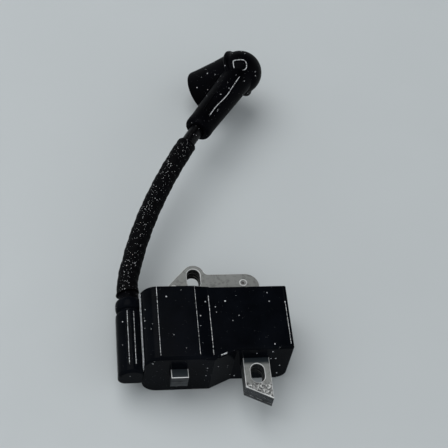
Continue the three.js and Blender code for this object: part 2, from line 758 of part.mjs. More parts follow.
const TERMINAL = { turns: 5, radius: 2.7, wire: 0.4, start: 1.2, length: 7, stepsPerTurn: 8 };
const springSettings = {
  steps: TERMINAL.turns * TERMINAL.stepsPerTurn,
  extrudePath: new Helix(),
  curveSegments: 3,
};
const springGeometry = new THREE.ExtrudeGeometry(disc(TERMINAL.wire), springSettings);
const springTurn = new THREE.Quaternion();
springTurn.setFromUnitVectors(new THREE.Vector3(0, 1, 0), BOOT_SKIRT_DIRECTION);
springGeometry.applyQuaternion(springTurn);
springGeometry.translate(BOOT_HEAD.x, BOOT_HEAD.y, BOOT_HEAD.z);
add("terminal_spring", springGeometry, LOOKS.spring);

// The module's base middle becomes the origin.
module.position.set(-CASE_RIGHT / 2, -(LEG.tipRight + EAR.y + EAR.radius) / 2, 0);

export default module;
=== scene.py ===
import math

import bmesh
import bpy
import numpy as np
from mathutils import Matrix, Vector


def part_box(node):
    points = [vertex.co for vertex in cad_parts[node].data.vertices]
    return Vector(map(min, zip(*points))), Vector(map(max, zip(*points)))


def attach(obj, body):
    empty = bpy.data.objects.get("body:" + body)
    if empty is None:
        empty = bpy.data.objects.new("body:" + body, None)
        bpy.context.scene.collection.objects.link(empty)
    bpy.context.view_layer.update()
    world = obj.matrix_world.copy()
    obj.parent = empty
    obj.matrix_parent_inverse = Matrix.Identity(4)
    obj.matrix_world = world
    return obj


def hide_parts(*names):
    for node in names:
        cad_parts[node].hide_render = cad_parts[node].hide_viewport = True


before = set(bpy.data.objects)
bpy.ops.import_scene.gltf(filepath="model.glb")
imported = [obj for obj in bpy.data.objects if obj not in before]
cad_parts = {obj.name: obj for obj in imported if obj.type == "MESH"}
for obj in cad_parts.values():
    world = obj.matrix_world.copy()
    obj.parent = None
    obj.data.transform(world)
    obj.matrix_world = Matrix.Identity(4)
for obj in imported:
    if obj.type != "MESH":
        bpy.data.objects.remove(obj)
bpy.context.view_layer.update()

MM = 0.001

CASE_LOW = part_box("case")[0]
TOWER_FRONT = -4.2
DATUM = np.array([CASE_LOW.x, CASE_LOW.y - TOWER_FRONT * MM, CASE_LOW.z])

X_AXIS, Y_AXIS, Z_AXIS = np.eye(3)


def at(x, y, z):
    """A place given in millimetres from the datum corner, in metres in the row frame."""
    return DATUM + np.array([x, y, z]) * MM


def unit(vector):
    vector = np.array(vector, float)
    return vector / np.linalg.norm(vector)


# ---- dimensions, in millimetres ----------------------------------------------------------------

CORE_BOTTOM = 8.75
SHEET = 0.5
SHEET_COUNT = 12
CORE_TOP = CORE_BOTTOM + SHEET * SHEET_COUNT
CORE_MIDDLE = (CORE_BOTTOM + CORE_TOP) / 2
SLOT_RADIUS = 2.25

TOWER_X = 4.6
TOWER_RADIUS = 4.6
TOWER_BACK = 23.5

LEAD_RADIUS = 2.5
SLEEVE_RADIUS = 3.4

HEAD = at(52.1, 119.9, 19.85)  # where the boot tube's axis meets the skirt's
TUBE = unit([-0.5676, -0.8233, 0])
SKIRT = unit([-0.766, 0.023, -0.642])
TUBE_LENGTH = 36.0
RING_OFFSET = 1.8
SKIRT_LENGTH = 19.0


# ---- camera ------------------------------------------------------------------------------------

def make_camera():
    azimuth = math.radians(-14.52)
    elevation = math.radians(54.35)
    roll = math.radians(11.18)
    distance = 0.3702
    target = at(39.18, 54.23, 12)
    back = np.array([
        math.sin(azimuth) * math.cos(elevation),
        -math.cos(azimuth) * math.cos(elevation),
        math.sin(elevation),
    ])
    level = unit(np.cross(Z_AXIS, back))
    right = math.cos(roll) * level + math.sin(roll) * np.cross(back, level)
    up = np.cross(back, right)
    camera = bpy.data.objects.new("camera", bpy.data.cameras.new("camera"))
    bpy.context.scene.collection.objects.link(camera)
    place = target + back * distance
    columns = np.column_stack([right, up, back, place])
    camera.matrix_world = Matrix([*columns.tolist(), [0, 0, 0, 1]])
    camera.data.sensor_width = 36
    camera.data.lens = 84.83
    camera.data.clip_start = 0.01
    bpy.context.scene.camera = camera


make_camera()


# ---- mesh helpers ------------------------------------------------------------------------------

def mesh_object(name, vertices, faces, sharp_angle=35):
    mesh = bpy.data.meshes.new(name)
    mesh.from_pydata([tuple(v) for v in vertices], [], [tuple(f) for f in faces])
    mesh.validate()
    piece = bpy.data.objects.new(name, mesh)
    bpy.context.scene.collection.objects.link(piece)
    outward(mesh)
    shade(mesh, sharp_angle)
    return piece


def outward(mesh):
    shell = bmesh.new()
    shell.from_mesh(mesh)
    bmesh.ops.recalc_face_normals(shell, faces=shell.faces)
    shell.to_mesh(mesh)
    shell.free()


def shade(mesh, sharp_angle):
    mesh.polygons.foreach_set("use_smooth", [True] * len(mesh.polygons))
    mesh.set_sharp_from_angle(angle=math.radians(sharp_angle))


def apply_modifiers(piece, sharp_angle=35):
    """Make a piece's modifiers real, and shade it anew unless sharp_angle is None."""
    graph = bpy.context.evaluated_depsgraph_get()
    mesh = bpy.data.meshes.new_from_object(piece.evaluated_get(graph))
    old = piece.data
    piece.modifiers.clear()
    piece.data = mesh
    bpy.data.meshes.remove(old)
    if sharp_angle is not None:
        shade(mesh, sharp_angle)
    return piece


def combine(piece, operation, others, sharp_angle=35):
    """Join or cut a piece with others, which are used up."""
    for other in others:
        modifier = piece.modifiers.new("boolean", "BOOLEAN")
        modifier.operation = operation
        modifier.solver = "EXACT"
        modifier.object = other
    apply_modifiers(piece, sharp_angle)
    for other in others:
        bpy.data.objects.remove(other)
    return piece


def loops_to_faces(count, size, ends="capped"):
    """Faces over `count` rings of `size` points each; the ends are capped, open or joined."""
    faces = []
    for i in range(count if ends == "joined" else count - 1):
        first, second = i * size, (i + 1) % count * size
        for k in range(size):
            n = (k + 1) % size
            faces.append((first + k, first + n, second + n, second + k))
    if ends == "capped":
        faces.append(tuple(range(size))[::-1])
        faces.append(tuple((count - 1) * size + k for k in range(size)))
    return faces


def frame_of(direction):
    """Two unit vectors that stand square on a direction."""
    helper = Z_AXIS if abs(direction[2]) < 0.9 else X_AXIS
    side = unit(np.cross(direction, helper))
    return side, np.cross(side, direction)


def lathe(name, profile, place, direction, sides=64, sharp_angle=35, ends="capped"):
    """Turned body: (radius, distance) in millimetres along a direction from a place."""
    side, top = frame_of(direction)
    angles = np.linspace(0, 2 * math.pi, sides, endpoint=False)
    points = []
    for radius, along in profile:
        for a in angles:
            out = side * math.cos(a) + top * math.sin(a)
            points.append(place + (direction * along + out * max(radius, 0.001)) * MM)
    return mesh_object(name, points, loops_to_faces(len(profile), sides, ends), sharp_angle)


def smooth_path(points, step):
    """A smooth line through given points (metres), with points about `step` millimetres apart."""
    points = np.array(points)
    padded = np.vstack([2 * points[0] - points[1], points, 2 * points[-1] - points[-2]])
    line = []
    for i in range(len(points) - 1):
        knots = padded[i:i + 4]
        chords = np.linalg.norm(np.diff(knots, axis=0), axis=1)
        times = np.insert(np.cumsum(np.sqrt(chords)), 0, 0)
        pieces = max(2, round(chords[1] / (step * MM)))
        for t in np.linspace(times[1], times[2], pieces, endpoint=False):
            level = knots
            for starts, ends in ((times[:3], times[1:]), (times[:2], times[2:]), (times[1:2], times[2:3])):
                share = ((t - starts) / (ends - starts))[:, None]
                level = level[:-1] * (1 - share) + level[1:] * share
            line.append(level[0])
    line.append(points[-1])
    return np.array(line)


def moving_frames(line):
    """Tangent, side and top along a line, carried along without twist."""
    tangents = np.gradient(line, axis=0)
    tangents /= np.linalg.norm(tangents, axis=1)[:, None]
    side = frame_of(tangents[0])[0]
    frames = []
    for tangent in tangents:
        side = unit(side - tangent * side.dot(tangent))
        frames.append((tangent, side, np.cross(tangent, side)))
    return frames


def length_of(line):
    return float(np.linalg.norm(np.diff(line, axis=0), axis=1).sum())


# ---- materials ---------------------------------------------------------------------------------

class Look:
    """A node material, built up a node at a time."""

    def __init__(self, name):
        self.material = bpy.data.materials.new(name)
        self.material.use_nodes = True
        self.nodes = self.material.node_tree.nodes
        self.links = self.material.node_tree.links
        self.shader = self.nodes["Principled BSDF"]
        self.place = self.nodes.new("ShaderNodeTexCoord").outputs["Object"]

    def link(self, source, target):
        self.links.new(source, target)
        return self

    def set(self, **values):
        for key, value in values.items():
            self.shader.inputs[key.replace("_", " ")].default_value = value
        return self

    def put(self, value, socket):
        """Give a socket a number or a colour, or link another node's output to it."""
        if isinstance(value, bpy.types.NodeSocket):
            self.links.new(value, socket)
        elif socket.type == "RGBA":
            socket.default_value = (*value, 1)
        else:
            socket.default_value = value

    def node(self, kind, inputs, **settings):
        node = self.nodes.new("ShaderNode" + kind)
        for key, value in settings.items():
            setattr(node, key, value)
        for key, value in inputs.items():
            self.put(value, node.inputs[key])
        return node

    def scaled(self, scale):
        return self.node("Mapping", {"Scale": scale, "Vector": self.place}).outputs["Vector"]

    def noise(self, scale, detail=4, roughness=0.6, place=None):
        size = {"Scale": scale, "Detail": detail, "Roughness": roughness}
        return self.node("TexNoise", {**size, "Vector": place or self.place}).outputs["Fac"]

    def ramp(self, source, stops):
        node = self.node("ValToRGB", {"Fac": source})
        elements = node.color_ramp.elements
        while len(elements) < len(stops):
            elements.new(0.5)
        for element, (position, color) in zip(elements, stops):
            element.position = position
            element.color = (*color, 1)
        return node.outputs["Color"]

    def between(self, source, low, high, source_low=0.0, source_high=1.0):
        reach = {"From Min": source_low, "From Max": source_high, "To Min": low, "To Max": high}
        return self.node("MapRange", {**reach, "Value": source}).outputs["Result"]

    def maths(self, operation, a, b):
        return self.node("Math", {0: a, 1: b}, operation=operation).outputs["Value"]

    def mix(self, share, first, second, blend="MIX"):
        inputs = {"Factor": share, "A": first, "B": second}
        return self.node("Mix", inputs, data_type="RGBA", blend_type=blend).outputs["Result"]

    def color(self, source):
        return self.link(source, self.shader.inputs["Base Color"])

    def roughness(self, source):
        return self.link(source, self.shader.inputs["Roughness"])

    def bump(self, source, height, strength=1.0):
        """Relief of `height` millimetres, on top of any relief already set."""
        under = self.shader.inputs["Normal"]
        inputs = {"Strength": strength, "Distance": height * MM, "Height": source}
        if under.links:
            inputs["Normal"] = under.links[0].from_socket
        return self.link(self.node("Bump", inputs).outputs["Normal"], under)

    def dust(self, spacing, size, share):
        """1 on scattered specks, 0 elsewhere: sizes in millimetres, and the share of cells with one."""
        cells = self.node("TexVoronoi", {"Scale": 1 / (spacing * MM), "Vector": self.place})
        split = self.node("SeparateColor", {"Color": cells.outputs["Color"]})
        chosen = self.maths("LESS_THAN", split.outputs["Red"], share)
        reach = self.between(split.outputs["Green"], 0.25 * size / spacing, size / spacing)
        near = self.maths("LESS_THAN", cells.outputs["Distance"], reach)
        return self.maths("MULTIPLY", chosen, near)

    def speckled(self, body, gloss, specks, color):
        """Pale specks on a dark body, rougher than it."""
        self.color(self.mix(specks, body, color))
        self.roughness(self.maths("ADD", gloss, self.maths("MULTIPLY", specks, 0.4)))


def black_plastic():
    look = Look("black_plastic")
    cloud = look.noise(90, 5)
    body = look.ramp(cloud, [(0.3, (0.0012, 0.0016, 0.0024)), (0.7, (0.0028, 0.0036, 0.0056))])
    fine = look.dust(0.6, 0.06, 0.3)
    specks = look.maths("MAXIMUM", look.dust(1.75, 0.27, 0.4), look.maths("MULTIPLY", fine, 0.35))
    look.speckled(body, look.between(cloud, 0.14, 0.24, 0.3, 0.7), specks, (0.55, 0.56, 0.58))
    look.bump(look.noise(2600, 3), 0.006, 0.5)
    look.bump(look.noise(240, 3), 0.03, 0.25)
    return look.set(Specular_IOR_Level=0.02).material


def highlight_line_paint(name, base, light, share, scale):
    """A raised line of a black moulding, painted pale in broken patches: a painted highlight along the line,
    with some dust, where its gloss is broken.
    """
    look = Look(name)
    broken = look.noise(scale, 4, 0.7)
    look.color(look.ramp(broken, [(share - 0.05, base), (share + 0.05, light)]))
    look.roughness(look.between(broken, 0.25, 0.55, 0.35, 0.65))
    look.bump(look.noise(scale * 2, 3), 0.02, 0.6)
    return look.set(Specular_IOR_Level=0.3).material


def black_resin():
    look = Look("black_resin")
    cloud = look.noise(120, 6)
    pits = look.dust(1.8, 0.22, 0.25)
    look.color(look.ramp(cloud, [(0.3, (0.006, 0.0055, 0.005)), (0.75, (0.02, 0.018, 0.016))]))
    look.roughness(look.between(cloud, 0.12, 0.4, 0.3, 0.7))
    look.bump(look.noise(160, 2), 0.12, 0.6)
    look.bump(look.maths("MULTIPLY", pits, -1.0), 0.08)
    return look.material


# Places across the leg and the pole, in metres, that part their finishes
TIP_BAND = [float(at(0, y, 0)[1]) for y in (-9.3, -8.1)]  # crazed steel gives way to plain steel
CASE_SHADE_BAND = [float(at(0, y, 0)[1]) for y in (-2.4, -1.5)]  # plain steel gives way to painted shade near the case front
DARKENING_END = float(at(0, 12.0, 0)[1])  # inside the case; the yoke behind it is plain
POLE_SIDE = float(at(23.0, 0, 0)[0])  # left of this the pole tip is varnished all over


def core_steel():
    look = Look("core_steel")
    cloud = look.noise(140, 6, 0.65)
    rolled = look.noise(420, 4, 0.6, look.scaled((1, 0.06, 1)))
    body = look.ramp(cloud, [
        (0.25, (0.2, 0.203, 0.193)),
        (0.6, (0.245, 0.248, 0.236)),
        (0.85, (0.29, 0.29, 0.275)),
    ])
    stain = look.ramp(look.noise(700, 5, 0.7), [(0.36, (0.10, 0.10, 0.10)), (0.5, (1, 1, 1))])
    spotted = look.mix(0.35, body, stain, blend="MULTIPLY")
    parts = look.node("SeparateXYZ", {"Vector": look.place})
    x, y = parts.outputs["X"], parts.outputs["Y"]

    # Varnish that crept out of the case darkens the whole pole tip, and painted shade darkens the top of the
    # leg near the case front, where the case shades it and is mirrored in it
    edge = look.between(look.noise(700, 3), -0.0005, 0.0005)
    varnish_and_shade = look.between(look.maths("ADD", y, edge), 0.0, 1.0, *CASE_SHADE_BAND)
    varnish_and_shade = look.maths("MAXIMUM", varnish_and_shade, look.maths("LESS_THAN", x, POLE_SIDE))
    varnish_and_shade = look.maths("MULTIPLY", varnish_and_shade, look.maths("LESS_THAN", y, DARKENING_END))
    bare = look.mix(varnish_and_shade, spotted, (0.016, 0.023, 0.028))

    # The leg's tip is crazed where it was dipped and scraped
    wander = look.between(look.noise(500, 3), -0.0012, 0.0012)
    tip = look.between(look.maths("ADD", y, wander), 1.0, 0.0, *TIP_BAND)
    crazed = look.noise(1150, 6, 0.75)
    blotch = look.ramp(crazed, [
        (0.42, (0.02, 0.02, 0.021)),
        (0.48, (0.2, 0.2, 0.195)),
        (0.54, (0.32, 0.32, 0.31)),
        (0.6, (0.72, 0.72, 0.7)),
    ])
    look.color(look.mix(tip, bare, blotch))
    look.roughness(look.between(cloud, 0.42, 0.62, 0.3, 0.7))
    look.bump(look.maths("MULTIPLY", crazed, tip), 0.12, 0.9)
    look.bump(rolled, 0.012, 0.6)
    look.bump(look.noise(900, 4), 0.02, 0.5)
    return look.set(Metallic=0.35).material


def cut_steel():
    """Punched sheet edges: darker and duller than the sheet's face."""
    look = Look("cut_steel")
    cloud = look.noise(260, 5)
    look.color(look.ramp(cloud, [(0.35, (0.018, 0.02, 0.022)), (0.65, (0.075, 0.08, 0.084))]))
    look.roughness(look.between(cloud, 0.4, 0.65, 0.3, 0.7))
    look.bump(look.noise(1500, 3, 0.6, look.scaled((1, 1, 0.15))), 0.03, 0.7)
    return look.set(Metallic=0.7).material


def shaded_bore():
    """The walls of the screw slots, painted near black: painted shade, where little light reaches into them.
    """
    look = Look("slot_painted_shade")
    layers = look.noise(300, 4, 0.6, look.scaled((0.2, 0.2, 6)))
    look.color(look.ramp(layers, [(0.35, (0.0012, 0.0012, 0.0014)), (0.7, (0.008, 0.008, 0.009))]))
    look.roughness(look.between(layers, 0.4, 0.6))
    look.bump(layers, 0.05, 0.6)
    return look.set(Specular_IOR_Level=0.08).material


def metal(name, dark, light, roughness, scale=500):
    look = Look(name)
    cloud = look.noise(scale, 5)
    look.color(look.ramp(cloud, [(0.3, dark), (0.7, light)]))
    look.roughness(look.between(cloud, roughness * 0.8, roughness * 1.25, 0.3, 0.7))
    look.bump(look.noise(scale * 3, 3), 0.01, 0.5)
    return look.set(Metallic=1.0).material


def wound_copper():
    """Enamelled wire, turn beside turn around the coil."""
    look = Look("wound_copper")
    size = {"Scale": 1600, "Distortion": 0.4, "Vector": look.place}
    wave = look.node("TexWave", size, bands_direction="Y")
    turns = wave.outputs["Fac"]
    look.color(look.ramp(turns, [(0.1, (0.16, 0.045, 0.015)), (0.6, (0.62, 0.24, 0.09))]))
    look.roughness(look.between(turns, 0.45, 0.25))
    look.bump(turns, 0.06, 0.9)
    return look.set(Metallic=0.9).material


def moulded(name, dark, light, low=0.4, high=0.6, relief=0.02):
    look = Look(name)
    cloud = look.noise(220, 5)
    look.color(look.ramp(cloud, [(0.3, dark), (0.7, light)]))
    look.roughness(look.between(cloud, low, high, 0.3, 0.7))
    look.bump(look.noise(1400, 3), relief, 0.5)
    return look.material


def circuit_green():
    look = Look("circuit_green")
    kind = {"distance": "MANHATTAN", "feature": "DISTANCE_TO_EDGE"}
    gap = look.node("TexVoronoi", {"Scale": 420, "Vector": look.place}, **kind).outputs["Distance"]
    look.color(look.ramp(gap, [(0.04, (0.16, 0.3, 0.12)), (0.09, (0.02, 0.085, 0.03))]))
    look.roughness(look.between(gap, 0.3, 0.45))
    look.bump(gap, 0.03, 0.4)
    return look.material


def black_rubber():
    look = Look("black_rubber")
    cloud = look.noise(110, 5)
    body = look.ramp(cloud, [(0.3, (0.0006, 0.0006, 0.001)), (0.72, (0.0014, 0.0015, 0.0026))])
    fine = look.dust(0.6, 0.07, 0.4)
    specks = look.maths("MAXIMUM", look.dust(1.6, 0.24, 0.5), look.maths("MULTIPLY", fine, 0.4))
    look.speckled(body, look.between(cloud, 0.34, 0.5, 0.3, 0.7), specks, (0.5, 0.5, 0.52))
    look.bump(look.noise(1700, 4), 0.014, 0.6)
    look.bump(look.noise(260, 3), 0.05, 0.4)
    return look.set(Specular_IOR_Level=0.02).material


def lead_jacket():
    look = Look("lead_jacket")
    cloud = look.noise(160, 4)
    body = look.ramp(cloud, [(0.3, (0.001, 0.001, 0.0013)), (0.7, (0.0025, 0.0025, 0.0033))])
    specks = look.dust(1.0, 0.18, 0.6)
    look.color(look.mix(specks, body, (0.5, 0.5, 0.52)))
    look.roughness(look.between(cloud, 0.22, 0.4, 0.3, 0.7))
    look.bump(look.noise(1200, 3), 0.01, 0.5)
    return look.set(Specular_IOR_Level=0.1).material


def braided():
    look = Look("braided_sleeve")
    fibre = look.noise(3400, 4, 0.7)
    patches = look.noise(420, 4, 0.65)
    body = look.ramp(fibre, [
        (0.35, (0.0006, 0.0006, 0.0008)),
        (0.62, (0.002, 0.002, 0.0026)),
        (0.8, (0.008, 0.008, 0.009)),
    ])
    coarse = look.dust(0.8, 0.16, 0.5)
    fine = look.dust(0.52, 0.12, 0.6)
    # Painted glints: the pale specks show only where the braid faces one fixed direction, about halfway
    # between the key light and the camera, and they fade away from it.
    facing = look.nodes.new("ShaderNodeTexCoord").outputs["Normal"]
    toward = {0: facing, 1: unit([-0.2, -0.3, 0.93])}
    glint_facing = look.node("VectorMath", toward, operation="DOT_PRODUCT")
    wander = look.between(patches, -0.16, 0.16, 0.35, 0.65)
    painted_glint_share = look.between(look.maths("ADD", glint_facing.outputs["Value"], wander), 0.0, 1.0, 0.55, 0.93)
    specks = look.maths("MULTIPLY", look.maths("MAXIMUM", coarse, fine), painted_glint_share)
    look.color(look.mix(specks, body, (0.62, 0.62, 0.63)))
    look.roughness(look.between(patches, 0.4, 0.65, 0.3, 0.7))
    look.bump(fibre, 0.05, 0.8)
    return look.set(Specular_IOR_Level=0.03).material


def table_top():
    look = Look("table_top")
    cloud = look.noise(6, 3)
    look.color(look.ramp(cloud, [(0.3, (0.55, 0.575, 0.58)), (0.7, (0.575, 0.6, 0.605))]))
    look.roughness(look.between(look.noise(60, 3), 0.5, 0.62, 0.3, 0.7))
    look.bump(look.noise(1500, 3), 0.01, 0.2)
    return look.material


MATERIALS = {
    "case": black_plastic(),
    "potting": black_resin(),
    "core_steel": core_steel(),
    "cut_steel": cut_steel(),
    "slot_shade": shaded_bore(),
    # Pale edge paint: a painted highlight on the top sheet's round and on the rivet rims.
    "edge_highlight_paint": moulded("edge_highlight_paint", (0.42, 0.42, 0.41), (0.86, 0.86, 0.84), 0.45, 0.6),
    "rivet": moulded("rivet_steel", (0.13, 0.13, 0.125), (0.24, 0.24, 0.23), 0.35, 0.5),
    "rivet_dimple": moulded("rivet_dimple", (0.02, 0.014, 0.012), (0.09, 0.07, 0.06), 0.4, 0.6),
    "bobbin": moulded("natural_nylon", (0.56, 0.52, 0.4), (0.7, 0.66, 0.54)),
    "copper": wound_copper(),
    "brass": metal("brass", (0.5, 0.34, 0.12), (0.78, 0.6, 0.28), 0.3),
    "board": circuit_green(),
    "component": moulded("component_black", (0.015, 0.016, 0.018), (0.04, 0.042, 0.046)),
    "film": moulded("film_red", (0.24, 0.03, 0.018), (0.42, 0.07, 0.04), 0.25, 0.4),
    # Pale paint on the raised lines of the case and the boot: painted highlights along the lines, broken up
    # with some dust.
    "case_highlight_line": highlight_line_paint("case_highlight_line", (0.012, 0.013, 0.015), (0.82, 0.83, 0.84), 0.5, 1900),
    "boot_highlight_line": highlight_line_paint("boot_highlight_line", (0.03, 0.03, 0.033), (0.62, 0.63, 0.64), 0.44, 1500),
    "seal": black_rubber(),
    "lead": lead_jacket(),
    "sleeve": braided(),
    "boot": black_rubber(),
    "spring": metal("spring_wire", (0.4, 0.4, 0.39), (0.72, 0.72, 0.7), 0.28),
}


def finish_piece(piece, body, slot, *nodes):
    """Material from a slot, moving body and the CAD nodes a piece stands for."""
    if not piece.data.materials:
        piece.data.materials.append(MATERIALS[slot])
    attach(piece, body)
    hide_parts(*nodes)
    return piece


# ---- lead, sleeve and their route --------------------------------------------------------------

def tower_axis(y):
    return at(TOWER_X, y, CORE_MIDDLE)


def along_tube(distance):
    return HEAD + TUBE * distance * MM


LEAD_START = [tower_axis(y) for y in (1.6, 8, 14, 20, 25.5)]
LEAD_FREE = [at(*point) for point in (
    (4.3, 28.9, 11.9),
    (4.95, 33.6, 12.35),
    (6.3, 38.4, 12.9),
    (7.7, 43.3, 13.6),
    (9.4, 48.2, 14.4),
    (11.35, 53.3, 15.2),
    (13.55, 58.4, 16),
    (16, 63.5, 16.9),
    (18.65, 68.7, 17.7),
    (21.65, 74.1, 18.5),
    (24.8, 79.4, 19.2),
    (27.75, 84.2, 19.65),
)]
LEAD_END = [along_tube(distance) for distance in (37.6, 32, 26, 20, 14, 9)]


def sweep(name, line, radius_at, sides, bore=None, sharp_angle=40):
    """A tube along a line. radius_at(along, angle, out) is in millimetres; a bore leaves it open."""
    frames = moving_frames(line)
    steps = np.insert(np.cumsum(np.linalg.norm(np.diff(line, axis=0), axis=1)), 0, 0) / MM
    angles = np.linspace(0, 2 * math.pi, sides, endpoint=False)
    points = []
    for along, centre, (_, side, top) in zip(steps, line, frames):
        for a in angles:
            out = side * math.cos(a) + top * math.sin(a)
            points.append(centre + out * radius_at(along, a, out) * MM)
    count = len(line)
    faces = loops_to_faces(count, sides, "capped" if bore is None else "open")
    if bore is not None:
        offset = len(points)
        for centre, (_, side, top) in zip(line, frames):
            for a in angles:
                points.append(centre + (side * math.cos(a) + top * math.sin(a)) * bore * MM)
        inner = loops_to_faces(count, sides, "open")
        faces += [tuple(offset + i for i in face[::-1]) for face in inner]
        for k in range(sides):
            n = (k + 1) % sides
            last = (count - 1) * sides
            faces.append((k, offset + k, offset + n, n))
            faces.append((last + k, last + n, offset + last + n, offset + last + k))
    return mesh_object(name, points, faces, sharp_angle)


LEAD_LINE = smooth_path(LEAD_START + LEAD_FREE + LEAD_END, 1.0)
lead = sweep("lead", LEAD_LINE, lambda along, angle, out: LEAD_RADIUS, 40)
finish_piece(lead, "module", "lead", "lead_insulation")


def braid_height(along, angle):
    """Relief of a flat braid: two families of strands that pass over and under each other."""
    strands = 22
    twist = 2.9
    first = strands * angle / 2 + twist * along
    second = strands * angle / 2 - twist * along
    over = math.cos(first) * math.cos(second)
    return 0.045 * abs(math.sin(first)) + 0.03 * over + 0.045 * abs(math.sin(second))


SLEEVE_LINE = smooth_path([at(4.58, 26.6, 11.8)] + LEAD_FREE, 0.2)
SLEEVE_LENGTH = length_of(SLEEVE_LINE) / MM


def sleeve_radius(along, angle, out):
    """The braid's radius: spread on one side against the tower, cut square at the far end."""
    flare = 0.75 * math.exp(-((along / 1.1) ** 2)) * max(0.15, -out[0])
    cut = 0.3 * math.exp(-(((SLEEVE_LENGTH - along) / 0.25) ** 2))
    lump = 0.06 * math.sin(along * 0.9 + 2 * math.sin(angle)) + 0.05 * math.sin(2.3 * along + angle)
    return SLEEVE_RADIUS + flare - cut + lump + braid_height(along, angle)


sleeve = sweep("lead_sleeve_braid", SLEEVE_LINE, sleeve_radius, 144, bore=2.75, sharp_angle=80)
finish_piece(sleeve, "module", "sleeve", "lead_sleeve")


# ---- spark plug boot ---------------------------------------------------------------------------

DOME_RADIUS = 8.3
RING_RADIUS = 9.4
RING_WIDTH = 1.8
TUBE_HEAD_RADIUS = 5.95
TUBE_END_RADIUS = 4.9
SOCKET_RADIUS = 6.2
SOCKET_STEP = 12.0
SOCKET_DEPTH = 20.5
TERMINAL_RADIUS = 3.7


def circle_arc(cx, cy, radius, start, end, steps):
    return [
        (cx + radius * math.cos(a), cy + radius * math.sin(a))
        for a in np.radians(np.linspace(start, end, steps))
    ]


def tube_point(along, turn, lift=0.0):
    """A place on the boot tube's skin; turn is in degrees from straight up."""
    side = unit(np.cross(TUBE, Z_AXIS))
    radius = TUBE_HEAD_RADIUS + (TUBE_END_RADIUS - TUBE_HEAD_RADIUS) * along / (TUBE_LENGTH - 1)
    a = math.radians(turn)
    out = Z_AXIS * math.cos(a) + side * math.sin(a)
    return along_tube(along) + out * (radius + lift) * MM


def dome_point(direction, lift=0.0):
    centre = HEAD + SKIRT * RING_OFFSET * MM
    return centre + unit(direction) * (DOME_RADIUS + lift) * MM


def bead_along(name, line, radius, fade):
    """A raised moulding line that runs out to nothing at both ends."""
    total = length_of(line) / MM

    def radius_at(along, angle, out):
        ends = min(max(along, 0.0), max(total - along, 0.0)) / fade
        return max(0.02, radius * min(1.0, ends) ** 0.5)

    return sweep(name, line, radius_at, 10)


def bead_ring(name, corners, radius):
    """A raised moulding line that closes on itself on the dome."""
    corners = [unit(corner) for corner in corners]
    line = []
    count = len(corners)
    for i in range(count):
        p0, p1, p2, p3 = (corners[(i + k - 1) % count] for k in range(4))
        for s in np.linspace(0, 1, 8, endpoint=False):
            spline = 2 * p1 + (p2 - p0) * s + (2 * p0 - 5 * p1 + 4 * p2 - p3) * s**2
            line.append(unit(spline + (3 * p1 - p0 - 3 * p2 + p3) * s**3))
    points = []
    sides = 10
    for before, here, after in zip(line[-1:] + line[:-1], line, line[1:] + line[:1]):
        across = unit(np.cross(after - before, here))
        for a in np.linspace(0, 2 * math.pi, sides, endpoint=False):
            offset = (across * math.cos(a) + here * math.sin(a)) * radius
            points.append(dome_point(here) + offset * MM)
    return mesh_object(name, points, loops_to_faces(len(line), sides, "joined"))


def paint(piece, base, accent, chosen):
    """Two finishes on one piece: faces for which `chosen` is true take the second one."""
    piece.data.materials.clear()
    piece.data.materials.append(MATERIALS[base])
    piece.data.materials.append(MATERIALS[accent])
    for face in piece.data.polygons:
        face.material_index = int(chosen(face))


